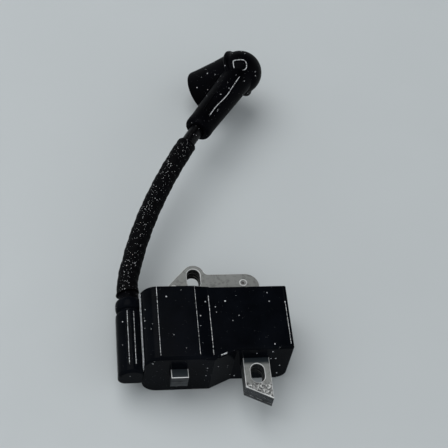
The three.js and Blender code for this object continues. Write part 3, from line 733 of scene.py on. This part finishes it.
def make_boot():
    rim = RING_OFFSET + SKIRT_LENGTH
    skirt_radius = DOME_RADIUS + 0.05
    dome = [
        (DOME_RADIUS * math.sin(a), RING_OFFSET - DOME_RADIUS * math.cos(a))
        for a in np.radians(np.linspace(0, 88, 30))
    ]
    ring = circle_arc(RING_OFFSET + 0.9, RING_RADIUS - 0.85, 0.85, 180, 0, 11)
    profile = dome + [(radius, along) for along, radius in ring]
    profile += [
        (skirt_radius - 0.05, RING_OFFSET + RING_WIDTH + 0.4),
        (skirt_radius - 0.2, RING_OFFSET + 8),
        (skirt_radius - 0.1, rim - 3.2),
        (skirt_radius + 0.0, rim - 1.9),
        (skirt_radius + 0.02, rim - 0.7),
        (skirt_radius - 0.2, rim - 0.2),
        (skirt_radius - 0.7, rim),
        (0, rim),
    ]
    boot = lathe("spark_plug_boot", profile, HEAD, SKIRT, 96)
    tube_profile = [
        (0, 0),
        (TUBE_HEAD_RADIUS, 0),
        (TUBE_END_RADIUS + 0.06, TUBE_LENGTH - 4.5),
        (TUBE_END_RADIUS + 0.12, TUBE_LENGTH - 2.5),
        (TUBE_END_RADIUS + 0.08, TUBE_LENGTH - 1.1),
        (TUBE_END_RADIUS - 0.25, TUBE_LENGTH - 0.25),
        (TUBE_END_RADIUS - 0.8, TUBE_LENGTH),
        (0, TUBE_LENGTH),
    ]
    tube = lathe("boot_tube", tube_profile, HEAD, TUBE, 80)
    combine(boot, "UNION", [tube])
    remesh = boot.modifiers.new("blend", "REMESH")
    remesh.mode = "VOXEL"
    remesh.voxel_size = 0.27 * MM
    smooth = boot.modifiers.new("smooth", "SMOOTH")
    smooth.factor = 0.5
    smooth.iterations = 5
    apply_modifiers(boot)

    seam = [(8.2, -20.5), (12.2, -22.5), (15.5, -24.8), (18.5, -27), (21.4, -25.5)]
    seam += [(24.8, -21.5), (28, -21), (31.2, -23.5)]
    seam = smooth_path([tube_point(along, turn, 0.02) for along, turn in seam], 0.4)
    faint = [(15.5, 13.5), (19, 15.3), (22, 16.8), (26.3, 14.8), (30.8, 12)]
    faint = smooth_path([tube_point(along, turn, -0.04) for along, turn in faint], 0.4)
    corners = [(-0.41, -0.13, 0.9), (-0.19, -0.13, 0.974), (0.05, -0.16, 0.985)]
    corners += [(0.15, -0.32, 0.933), (0.115, -0.53, 0.82), (-0.1, -0.62, 0.79)]
    corners += [(-0.3, -0.64, 0.69), (-0.405, -0.45, 0.79), (-0.43, -0.27, 0.86)]
    mouldings = [
        bead_along("seam", seam, 0.14, 1.2),
        bead_along("faint_seam", faint, 0.2, 3.0),
        bead_ring("pad_outline", corners, 0.15),
    ]
    # The seam and the pad's outline take the pale paint, a painted highlight along each; the faint seam stays
    # plain rubber.
    paint(boot, "boot", "boot_highlight_line", lambda face: False)
    for moulding in mouldings:
        plain = moulding.name == "faint_seam"
        paint(moulding, "boot", "boot_highlight_line", lambda face: not plain)
    socket = [
        (0, rim - SOCKET_DEPTH),
        (TERMINAL_RADIUS, rim - SOCKET_DEPTH),
        (TERMINAL_RADIUS, rim - SOCKET_STEP),
        (SOCKET_RADIUS, rim - SOCKET_STEP + 1),
        (SOCKET_RADIUS, rim - 5.2),
        (SOCKET_RADIUS - 0.35, rim - 4.9),
        (SOCKET_RADIUS - 0.35, rim - 4.2),
        (SOCKET_RADIUS, rim - 3.9),
        (SOCKET_RADIUS, rim - 0.6),
        (SOCKET_RADIUS + 0.5, rim + 0.05),
        (SOCKET_RADIUS + 0.5, rim + 1),
        (0, rim + 1),
    ]
    hole_radius = LEAD_RADIUS + 0.12
    hole = [
        (0, 0),
        (hole_radius, 0),
        (hole_radius, TUBE_LENGTH - 0.5),
        (hole_radius + 0.4, TUBE_LENGTH + 0.05),
        (hole_radius + 0.4, TUBE_LENGTH + 1),
        (0, TUBE_LENGTH + 1),
    ]
    combine(boot, "UNION", mouldings)
    combine(boot, "DIFFERENCE", [
        lathe("socket", socket, HEAD, SKIRT, 72),
        lathe("cable_hole", hole, HEAD, TUBE, 48),
    ], sharp_angle=42)
    return boot


boot = finish_piece(make_boot(), "boot", "boot", "plug_boot")


def make_terminal_spring():
    turns, radius, wire = 5, 2.7, 0.4
    side, top = frame_of(SKIRT)
    line = []
    for t in np.linspace(0, 1, turns * 32 + 1):
        a = t * turns * 2 * math.pi
        out = (side * math.cos(a) + top * math.sin(a)) * radius
        line.append(HEAD + (SKIRT * (1.2 + 7 * t) + out) * MM)
    return sweep("terminal_spring_wire", np.array(line), lambda along, angle, out: wire, 14)


finish_piece(make_terminal_spring(), "boot", "spring", "terminal_spring")


# ---- case --------------------------------------------------------------------------------------

WALL = 1.6
CASE_RIGHT = 55.75
CASE_BACK = 23.0
CASE_TOP = 21.1
FOOT_ROUND = 4.0
EDGE_ROUND = 0.65
LOBE_LEFT = 7.75
LOBE_RIGHT = 30.0
LOBE_TOP = 22.0
LOBE_FRONT = -3.25
LOBE_BACK = 23.25
LOBE_FLAT_TO = 25.4
SHOULDER_WIDTH = 5.25
SHOULDER_HEIGHT = 6.0
RAMP_END = 37.3
STEP_END = 30.3  # the lobe's small step at the back ends here
STEP_LINE = 29.7
EDGE_LINE = 54.75
RIDGES = ((13.0, 0.1), (LOBE_FLAT_TO, 0.1), (STEP_LINE, 0.1), (EDGE_LINE, 0.07))  # x and height


TOWER_RIBS = (3.6, 5.65)  # x of the fine ribs along the tower's top
LINE_START = 1.35  # the raised lines start this far behind the front face
EDGE_LINE_END = 17.0  # the y at which a line that stops short of the back ends
STEP_LINE_END = 20.0


def section_points(inset, arc_steps):
    """The case's section: (x, z, outward normal) from the left lower shoulder round to the right."""
    left = LOBE_LEFT + inset
    right = CASE_RIGHT - inset
    top = LOBE_TOP - inset
    block_top = CASE_TOP - inset
    lobe_right = LOBE_RIGHT - inset / 2
    ramp_end = RAMP_END - inset / 2
    flat_from = left + SHOULDER_WIDTH
    points = [(flat_from, inset), (21.0, inset), (lobe_right, inset), (STEP_END, inset)]
    points += [(ramp_end, inset), (44.0, inset)]
    foot = FOOT_ROUND
    points += circle_arc(right - foot, inset + foot, foot, -90, 0, arc_steps)
    edge = EDGE_ROUND
    points += [(right, z) for z in (8.0, 13.0, 17.0)]
    points += circle_arc(right - edge, block_top - edge, edge, 0, 90, max(3, arc_steps // 2))
    ridge_steps = np.linspace(-0.32, 0.32, 9)
    if not inset:
        points += [(EDGE_LINE - s, block_top) for s in ridge_steps]
    points += [(x, block_top) for x in (50.0, 44.0, ramp_end)]
    if not inset:
        points += [(x, block_top) for x in (34.0, 32.0)]
    points += [(STEP_END, block_top), (lobe_right, block_top)]
    if not inset:
        points += [(STEP_LINE - s, block_top + 0.002) for s in ridge_steps[1:]]
    for t in np.linspace(0, 1, 2 * arc_steps)[1:-1]:
        x = (1 - t) ** 2 * lobe_right + 2 * t * (1 - t) * (lobe_right - 2.2) + t * t * LOBE_FLAT_TO
        z = (1 - t) ** 2 * block_top + 2 * t * (1 - t) * block_top + t * t * top
        if inset or x < STEP_LINE - 0.4:
            points.append((x, z))
    if inset:
        points += [(LOBE_FLAT_TO, top), (flat_from, top)]
    else:
        points += [(LOBE_FLAT_TO - s, top) for s in ridge_steps[4:]]
        points += [(x, top) for x in (23.0, 19.0, 15.5)]
        points += [(flat_from - s, top) for s in ridge_steps[:5]]
    shoulder = [math.pi / 2 + s / SHOULDER_WIDTH for s in ridge_steps[5:]] if not inset else []
    shoulder += list(np.radians(np.linspace(96, 180, 2 * arc_steps)))
    for a in shoulder:
        x = left + SHOULDER_WIDTH + SHOULDER_WIDTH * math.cos(a)
        points.append((x, top - SHOULDER_HEIGHT + SHOULDER_HEIGHT * math.sin(a)))
    points += [(left, z) for z in (14.0, 11.0, 8.0)]
    for a in np.radians(np.linspace(180, 270, 2 * arc_steps))[:-1]:
        x = left + SHOULDER_WIDTH + SHOULDER_WIDTH * math.cos(a)
        points.append((x, inset + SHOULDER_HEIGHT + SHOULDER_HEIGHT * math.sin(a)))
    points = np.array(points)
    keep = np.linalg.norm(points - np.roll(points, 1, axis=0), axis=1) > 1e-4
    points = points[keep]
    before = points - np.roll(points, 1, axis=0)
    after = np.roll(points, -1, axis=0) - points
    along = before / np.linalg.norm(before, axis=1)[:, None]
    along = along + after / np.linalg.norm(after, axis=1)[:, None]
    normals = np.column_stack([along[:, 1], -along[:, 0]])
    normals /= np.linalg.norm(normals, axis=1)[:, None]
    return points, normals


def plan_front(x, inset):
    break_1 = LOBE_RIGHT - inset / 2
    break_2 = RAMP_END - inset / 2
    return float(np.interp(x, [break_1, break_2], [LOBE_FRONT + inset, inset]))


def plan_back(x, inset):
    break_1 = LOBE_RIGHT - inset / 2
    return float(np.interp(x, [break_1, STEP_END], [LOBE_BACK - inset, CASE_BACK - inset]))


def case_volume(name, inset, rounded):
    points, normals = section_points(inset, 9 if rounded else 5)
    count = len(points)
    lift = np.zeros(count)
    radius = np.zeros(count)
    if rounded:
        for (x, z), k in zip(points, range(count)):
            if z > 18:
                lift[k] = sum(h * math.exp(-(((x - rx) / 0.1) ** 2)) for rx, h in RIDGES)
    turns = np.radians(np.linspace(90, 0, 8)) if rounded else [0.0]
    vertices = []
    for front in (True, False):
        if rounded:
            upward = np.clip(normals[:, 1], 0, 1)
            radius = (0.5 + 0.6 * upward) if front else (0.4 - 0.05 * upward)
        rows = []
        for turn in turns:
            row = []
            for (x, z), n, r, h in zip(points, normals, radius, lift):
                shift = -r * (1 - math.cos(turn)) + h * math.cos(turn) ** 2
                px, pz = x + n[0] * shift, z + n[1] * shift
                back = r * (1 - math.sin(turn))
                y = plan_front(px, inset) + back if front else plan_back(px, inset) - back
                row.append((px, y, pz))
            rows.append(row)
        vertices += rows if front else rows[::-1]
        if front and rounded:
            skin = [(x + n[0] * h, z + n[1] * h) for (x, z), n, h in zip(points, normals, lift)]
            vertices.append([(x, plan_front(x, 0) + LINE_START, z) for x, z in skin])
            vertices += [[(x, y, z) for x, z in skin] for y in (EDGE_LINE_END, STEP_LINE_END)]
    rings = len(vertices)
    faces = loops_to_faces(rings, count, "open")
    vertices = [point for row in vertices for point in row]

    def corner_at(x, upper):
        """The section point at a break of the plan, on the top or on the underside."""
        middle = CASE_TOP / 2
        return next(k for k, p in enumerate(points) if abs(p[0] - x) < 1e-6 and (p[1] > middle) == upper)

    def split(first, breaks):
        """Cap faces of the ring that starts at vertex `first`, cut where the plan turns."""
        edges = [(corner_at(x, False), corner_at(x, True)) for x in breaks]
        a, b = edges[-1]
        caps = [list(range(a, b + 1))]
        for (a, b), (c, d) in zip(edges[:-1], edges[1:]):
            caps.append(list(range(a, c + 1)) + list(range(d, b + 1)))
        a, b = edges[0]
        caps.append([k % count for k in range(b, count + a + 1)])
        return [tuple(first + k for k in cap) for cap in caps]

    faces += split(0, (LOBE_RIGHT - inset / 2, RAMP_END - inset / 2))
    faces += split((rings - 1) * count, (LOBE_RIGHT - inset / 2, STEP_END))
    return mesh_object(name, [at(*v) for v in vertices], faces, 20)


def block(name, x0, x1, y0, y1, z0, z1):
    corners = [at(x, y, z) for z in (z0, z1) for x, y in ((x0, y0), (x1, y0), (x1, y1), (x0, y1))]
    return mesh_object(name, corners, loops_to_faces(2, 4))


def tower_section(radius, corner, ridge):
    """A round upper half with fine ridges, and a lower half as square as `corner` lets it be."""
    ridge_angles = [math.acos((x - TOWER_X) / TOWER_RADIUS) for x in TOWER_RIBS]
    near = np.linspace(-0.08, 0.08, 9)
    upper = sorted({*np.linspace(0, math.pi, 49), *(a + d for a in ridge_angles for d in near)})
    points = []
    for a in upper:
        high = sum(math.exp(-(((a - b) * TOWER_RADIUS / 0.15) ** 2)) for b in ridge_angles)
        r = radius + 0.17 * ridge * high
        points.append((r * math.cos(a), r * math.sin(a)))
    points += circle_arc(-radius + corner, -radius + corner, corner, 180, 270, 14)
    points += circle_arc(radius - corner, -radius + corner, corner, 270, 360, 14)
    return points


def make_tower():
    square = 2.3
    nose = 1.1
    stations = []
    for a in np.radians(np.linspace(0, 90, 8)):
        radius = TOWER_RADIUS - nose * (1 - math.sin(a))
        stations.append((TOWER_FRONT + nose * (1 - math.cos(a)), radius, square * radius / TOWER_RADIUS, 0.0))
    stations += [(-2.4, TOWER_RADIUS, square, 0.0), (-1.6, TOWER_RADIUS, square, 1.0)]
    stations += [(y, TOWER_RADIUS, square, 1.0) for y in (2.0, 6.0, 10.0, 14.0, 17.0)]
    stations += [
        (17.5, TOWER_RADIUS, square, 0.6),
        (17.85, TOWER_RADIUS - 0.03, square, 0.0),
        (18.05, TOWER_RADIUS - 0.14, square * 1.1, 0.0),
        (18.25, 4.2, 2.9, 0.0),
        (18.5, 3.9, 3.4, 0.0),
        (18.8, 3.74, 3.7, 0.0),
        (19.2, 3.74, 3.7, 0.0),
    ]
    middle, half = 21.35, 2.1
    for share in np.linspace(-0.985, 0.985, 15):
        bulge = (1 - abs(share) ** 2.6) ** (1 / 2.2)
        radius = 3.72 + 0.88 * bulge
        stations.append((middle + half * share, radius, radius - 0.02, 0.0))
    stations.append((TOWER_BACK, 3.72, 3.7, 0.0))
    size = None
    points = []
    for y, radius, corner, ridge in stations:
        ring = tower_section(radius, min(corner, radius - 0.02), ridge)
        size = len(ring)
        points += [at(TOWER_X + x, y, CORE_MIDDLE + z) for x, z in ring]
    return mesh_object("tower", points, loops_to_faces(len(stations), size), 25)


FIT = 0.12  # play of the core in the case's windows


def core_window(name, left, right, y0, y1):
    return block(name, left - FIT, right + FIT, y0, y1, CORE_BOTTOM - FIT, CORE_TOP + FIT)


def mouth_outline(inset):
    right = CASE_RIGHT - FOOT_ROUND - WALL / 2 - inset
    left = LOBE_LEFT + SHOULDER_WIDTH + inset
    front = WALL + inset
    return [
        (left, LOBE_FRONT + front),
        (LOBE_RIGHT - WALL / 2 - inset / 2, LOBE_FRONT + front),
        (RAMP_END - WALL / 2 - inset / 2, front),
        (right, front),
        (right, CASE_BACK - front),
        (left, CASE_BACK - front),
    ]


def prism(name, outline, z0, z1):
    points = [at(x, y, z) for z in (z0, z1) for x, y in outline]
    return mesh_object(name, points, loops_to_faces(2, len(outline)))


def make_case():
    case = case_volume("moulded_case", 0, rounded=True)
    tower = make_tower()
    front_cut = block("front_cut", LOBE_LEFT, LOBE_LEFT + 3, TOWER_FRONT - 1, LOBE_FRONT + 0.9, 1, 20)
    combine(tower, "DIFFERENCE", [front_cut])
    web = block("web", TOWER_X, LOBE_LEFT + 2, LOBE_FRONT + 1.5, 17.5, 8.3, 15.2)
    combine(case, "UNION", [tower, web])
    bore_radius = LEAD_RADIUS + 0.15
    bore = [(0, 1.2), (bore_radius, 1.2), (bore_radius, 20.4), (3.3, 20.4), (3.3, 23.2), (3.45, 25), (0, 25)]
    spike = [(0, -2.2), (1.5, -2.2), (1.5, 1.3), (0, 1.3)]
    combine(case, "DIFFERENCE", [
        case_volume("inside", WALL, rounded=False),
        prism("mouth", mouth_outline(0), -1, WALL + 1),
        lathe("lead_bore", bore, tower_axis(0), Y_AXIS, 48),
        lathe("spike_bore", spike, tower_axis(0), Y_AXIS, 24),
        block("link_window", TOWER_X, LOBE_LEFT + WALL + 1, -2.2, 0.8, 10.25, 13.25),
        core_window("pole_window", 16.6, 22.05, LOBE_FRONT - 1, LOBE_BACK + 1),
        core_window("leg_window", 39.85, 48.35, -1, CASE_BACK + 1),
    ], sharp_angle=20)
    weigh = case.modifiers.new("weigh", "WEIGHTED_NORMAL")
    weigh.keep_sharp = True
    weigh.weight = 80
    apply_modifiers(case, sharp_angle=None)

    def takes_painted_highlight(face):
        """True on the raised lines, the ramp's edge and the valley beside the tower, which take the pale
        paint of a painted highlight.
        """
        x, y, z = (np.array(face.center) - DATUM) / MM
        if z > 20:
            line = y > LOBE_FRONT + LINE_START and any(abs(x - r) < 0.1 for r, _ in RIDGES[:3])
            line = line and (y < STEP_LINE_END or x < STEP_LINE - 1)
            right = abs(x - EDGE_LINE) < 0.1 and LINE_START < y < EDGE_LINE_END
            ramp = 0.5 < face.normal.z < 0.9 and y < 0.6 and 31.4 < x < 35.6
            return line or right or ramp
        rib = z > CORE_MIDDLE + 4 and -2 < y < 17.8 and any(abs(x - r) < 0.1 for r in TOWER_RIBS)
        return rib or (z > 14.3 and abs(x - LOBE_LEFT - 0.12) < 0.13)

    paint(case, "case", "case_highlight_line", takes_painted_highlight)
    return case


finish_piece(make_case(), "module", "case", "case")


def make_resin():
    """The resin: the CAD's own mass, filled out to the mouth's walls, with its skin drawn up at them."""
    resin = bpy.data.objects.new("cured_resin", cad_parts["potting_compound"].data.copy())
    bpy.context.scene.collection.objects.link(resin)
    resin.data.materials.clear()
    low = np.array([12.9, -1.75])
    high = np.array([51.1, 21.5])
    steps = np.ceil((high - low) / 0.55).astype(int)
    edge = [np.array(p) for p in mouth_outline(0.02)]

    def wall_distance(p):
        gaps = []
        for a, b in zip(edge, edge[1:] + edge[:1]):
            direction = unit(b - a)
            gaps.append(direction[0] * (p[1] - a[1]) - direction[1] * (p[0] - a[0]))
        return min(gaps)

    bottom = []
    for j in range(steps[1] + 1):
        for i in range(steps[0] + 1):
            p = low + (high - low) * np.array([i, j]) / steps
            climb = 0.42 * math.exp(-max(wall_distance(p), 0) / 1.3)
            wave = 0.05 * math.sin(p[0] * 0.31 + 1) * math.cos(p[1] * 0.43)
            bottom.append((p[0], p[1], 0.62 - climb + wave))
    nx, ny = steps[0] + 1, steps[1] + 1
    top = [(x, y, 2.6) for x, y, _ in bottom]
    faces = []
    for j in range(ny - 1):
        for i in range(nx - 1):
            a = j * nx + i
            faces.append((a, a + nx, a + nx + 1, a + 1))
            b = a + nx * ny
            faces.append((b, b + 1, b + nx + 1, b + nx))
    border = list(range(nx)) + [j * nx + nx - 1 for j in range(1, ny)]
    border += [(ny - 1) * nx + i for i in range(nx - 2, -1, -1)] + [j * nx for j in range(ny - 2, 0, -1)]
    for a, b in zip(border, border[1:] + border[:1]):
        faces.append((a, b, b + nx * ny, a + nx * ny))
    skin = mesh_object("skin", [at(*p) for p in bottom + top], faces)
    combine(skin, "INTERSECT", [prism("fill", mouth_outline(0.02), -1, 5)])
    combine(resin, "UNION", [skin], sharp_angle=30)
    return resin


finish_piece(make_resin(), "module", "potting", "potting_compound")


def make_seal():
    bore = LEAD_RADIUS + 0.05
    profile = [(bore, 20.6), (3.2, 20.6), (3.2, 23.6), (3.3, 24.0)]
    profile += [(3.3, 25.6), (3.15, 26.1), (bore + 0.1, 26.3)]
    return lathe("lead_grommet", profile, tower_axis(0), Y_AXIS, ends="joined")


finish_piece(make_seal(), "module", "seal", "lead_seal")


# ---- laminated core ----------------------------------------------------------------------------

RIVETS = ((42.9, 28.2), (19.5, 26.4), (44.1, 1.6))
EAR_SLOT = (26.35, 28.75, 31.75)  # x, and the y of the two rounds' centres
LEG_SLOT = (44.1, -6.4, -4.25)


def slot_outline(x, near, far):
    return circle_arc(x, far, SLOT_RADIUS, 0, 180, 25) + circle_arc(x, near, SLOT_RADIUS, 180, 360, 25)


def core_outline():
    """The U with its ear: winding pole, yoke, screw leg."""
    ear_x, ear_y, ear_radius, slope, fillet = 26.35, 31.75, 3.8, 0.836, 1.6
    yoke_front, yoke_back, corner = 23.75, 31.9, 4.75
    tangent_x = ear_x - ear_radius * math.sin(slope)
    tangent_y = ear_y + ear_radius * math.cos(slope)
    shoulder_y = tangent_y - (tangent_x - 16.6) * math.tan(slope)
    fillet_y = yoke_back + fillet
    reach = math.sqrt((ear_radius + fillet) ** 2 - (fillet_y - ear_y) ** 2)
    leave = math.degrees(math.atan2(fillet_y - ear_y, reach))
    inner = 0.6
    return (
        [(16.6, -6.15), (22.05, -6.15)]
        + circle_arc(22.05 + inner, yoke_front - inner, inner, 180, 90, 6)
        + circle_arc(39.85 - inner, yoke_front - inner, inner, 90, 0, 6)
        + [(39.85, -10.05), (48.35, -14.3)]
        + circle_arc(48.35 - corner, yoke_back - corner, corner, 0, 90, 22)
        + circle_arc(ear_x + reach, fillet_y, fillet, 270, 180 + leave, 12)
        + circle_arc(ear_x, ear_y, ear_radius, leave, 90 + math.degrees(slope), 30)
        + [(16.6, shoulder_y)]
    )


def flat_sheet(name, loops, bottom, thickness, edge):
    """A punched sheet: outline and holes made solid, with a fine burr-free round at its edges."""
    curve = bpy.data.curves.new(name, "CURVE")
    curve.dimensions = "2D"
    curve.fill_mode = "BOTH"
    curve.extrude = thickness / 2 * MM - edge * MM
    curve.bevel_depth = edge * MM
    curve.bevel_resolution = 0
    curve.offset = -edge * MM
    for loop in loops:
        spline = curve.splines.new("POLY")
        spline.points.add(len(loop) - 1)
        for point, (x, y) in zip(spline.points, loop):
            place = at(x, y, 0)
            point.co = (place[0], place[1], 0, 1)
        spline.use_cyclic_u = True
    holder = bpy.data.objects.new(name + "_curve", curve)
    bpy.context.scene.collection.objects.link(holder)
    graph = bpy.context.evaluated_depsgraph_get()
    mesh = bpy.data.meshes.new_from_object(holder.evaluated_get(graph))
    bpy.data.objects.remove(holder)
    mesh.transform(Matrix.Translation((0, 0, at(0, 0, bottom + thickness / 2)[2])))
    work = bmesh.new()
    work.from_mesh(mesh)
    bmesh.ops.remove_doubles(work, verts=work.verts, dist=2e-6)
    bmesh.ops.recalc_face_normals(work, faces=work.faces)
    work.to_mesh(mesh)
    work.free()
    mesh.name = name
    piece = bpy.data.objects.new(name, mesh)
    bpy.context.scene.collection.objects.link(piece)
    mesh.materials.clear()
    mesh.materials.append(MATERIALS["core_steel"])
    for slot_name in ("cut_steel", "slot_shade", "edge_highlight_paint"):
        mesh.materials.append(MATERIALS[slot_name])
    slots = [at(x, (near + far) / 2, 0) for x, near, far in (EAR_SLOT, LEG_SLOT)]
    for face in mesh.polygons:
        lean = abs(face.normal.z)
        near = min(np.linalg.norm((np.array(face.center) - middle)[:2]) for middle in slots)
        if lean > 0.9:
            face.material_index = 0
        # The slanted faces of the top sheet's wide round take the pale paint: a painted highlight along its
        # edges.
        elif lean > 0.3 and edge > 0.1:
            face.material_index = 3
        else:
            # Walls of the slots take the near-black painted shade.
            face.material_index = 2 if near < 4.2 * MM and lean < 0.3 else 1
    shade(mesh, 30)
    return piece


def make_core():
    holes = [slot_outline(*EAR_SLOT), slot_outline(*LEG_SLOT)]
    holes += [circle_arc(x, y, 1.06, 0, 345, 24) for x, y in RIVETS]
    outline = core_outline()
    for i in range(SHEET_COUNT):
        shift = 0.05 * math.sin(i * 2.4), 0.07 * math.cos(i * 1.7)
        if i in (0, SHEET_COUNT - 1):
            shift = 0, 0
        loops = [[(x + shift[0], y + shift[1]) for x, y in loop] for loop in [outline] + holes]
        edge = 0.2 if i == SHEET_COUNT - 1 else 0.05
        sheet = flat_sheet(f"core_sheet_{i + 1}", loops, CORE_BOTTOM + i * SHEET, SHEET - 0.02, edge)
        finish_piece(sheet, "module", "core_steel", f"lamination_{i + 1:02d}")


make_core()

RIVET_HEAD = [(1.0, 0), (1.35, 0.0), (1.38, 0.08), (1.32, 0.19), (1.16, 0.25), (1.0, 0.25)]
RIVET_HEAD += [(0.84, 0.16), (0.62, 0.07), (0.4, 0.02), (0.3, -0.08), (0, -0.1)]
for i, (x, y) in enumerate(RIVETS):
    height = CORE_TOP - CORE_BOTTOM
    profile = [(r, -h) for r, h in RIVET_HEAD[::-1]] + [(r, height + h) for r, h in RIVET_HEAD]
    piece = lathe(f"rivet_{i + 1}", profile, at(x, y, CORE_BOTTOM), Z_AXIS, 40, sharp_angle=50)
    heads = [at(x, y, z) for z in (CORE_BOTTOM - 0.1, CORE_TOP + 0.1)]
    paint(piece, "rivet", "rivet_dimple", lambda face: False)
    piece.data.materials.append(MATERIALS["edge_highlight_paint"])
    for face in piece.data.polygons:
        # The rim of each rivet head takes the pale paint, a painted highlight; the middle takes the dimple's
        # colour.
        from_axis = min(np.linalg.norm(np.array(face.center) - head) for head in heads)
        face.material_index = 2 if 0.98 * MM < from_axis < 1.6 * MM else int(from_axis < 0.5 * MM)
    finish_piece(piece, "module", "rivet", f"core_rivet_{i + 1}")


# ---- finish of the CAD nodes that stay ---------------------------------------------------------

KEPT = {
    "bobbin": ["coil_bobbin", "secondary_bobbin"],
    "copper": ["charge_winding", "primary_winding", "coil_tail_wire_1", "coil_tail_wire_2", "secondary_link"],
    "brass": ["lead_spike", "earth_spring"],
    "board": ["circuit_board"],
    "component": ["control_chip", "rectifier_diode_1", "rectifier_diode_2", "clamp_diode", "thyristor"],
    "film": ["storage_capacitor"],
}
KEPT["copper"] += [f"secondary_winding_{i + 1}" for i in range(4)] + ["lead_conductor"]
KEPT["component"] += ["trigger_resistor", "timing_resistor"]
for slot_name, names in KEPT.items():
    for name in names:
        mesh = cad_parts[name].data
        mesh.materials.clear()
        mesh.materials.append(MATERIALS[slot_name])


# ---- floor, light ------------------------------------------------------------------------------

def make_floor():
    size = 1.6
    corners = [(-size, -size, 0), (size, -size, 0), (size, size, 0), (-size, size, 0)]
    floor = mesh_object("floor", corners, [(0, 1, 2, 3)])
    floor.data.materials.append(table_top())


def make_key_light():
    """One large soft lamp, high up behind the object's left."""
    data = bpy.data.lights.new("key", "AREA")
    data.shape = "DISK"
    data.size = 1.35
    data.energy = 11.4
    data.color = (0.97, 0.99, 1.0)
    lamp = bpy.data.objects.new("key", data)
    bpy.context.scene.collection.objects.link(lamp)
    direction = unit([-0.28, 0.27, 0.93])
    lamp.location = at(30, 50, 10) + direction * 1.5
    lamp.rotation_euler = Vector(direction).to_track_quat("Z", "Y").to_euler()


make_floor()
make_key_light()


def make_world():
    """Even pale surroundings with one dark card high up behind the object."""
    world = bpy.data.worlds.new("studio")
    world.use_nodes = True
    nodes, links = world.node_tree.nodes, world.node_tree.links
    background = nodes["Background"]
    direction = nodes.new("ShaderNodeTexCoord").outputs["Generated"]
    toward = nodes.new("ShaderNodeVectorMath")
    toward.operation = "DOT_PRODUCT"
    toward.inputs[1].default_value = unit([0.146, 0.564, 0.813])
    links.new(direction, toward.inputs[0])
    card = nodes.new("ShaderNodeMapRange")
    card.interpolation_type = "SMOOTHSTEP"
    card.inputs["From Min"].default_value = 0.55
    card.inputs["From Max"].default_value = 0.9
    card.inputs["To Min"].default_value = 0.77
    card.inputs["To Max"].default_value = 0.02
    links.new(toward.outputs["Value"], card.inputs["Value"])
    background.inputs["Color"].default_value = (0.92, 0.965, 1.0, 1)
    links.new(card.outputs["Result"], background.inputs["Strength"])
    return world


world = make_world()
bpy.context.scene.world = world
bpy.context.scene.view_settings.view_transform = "Standard"
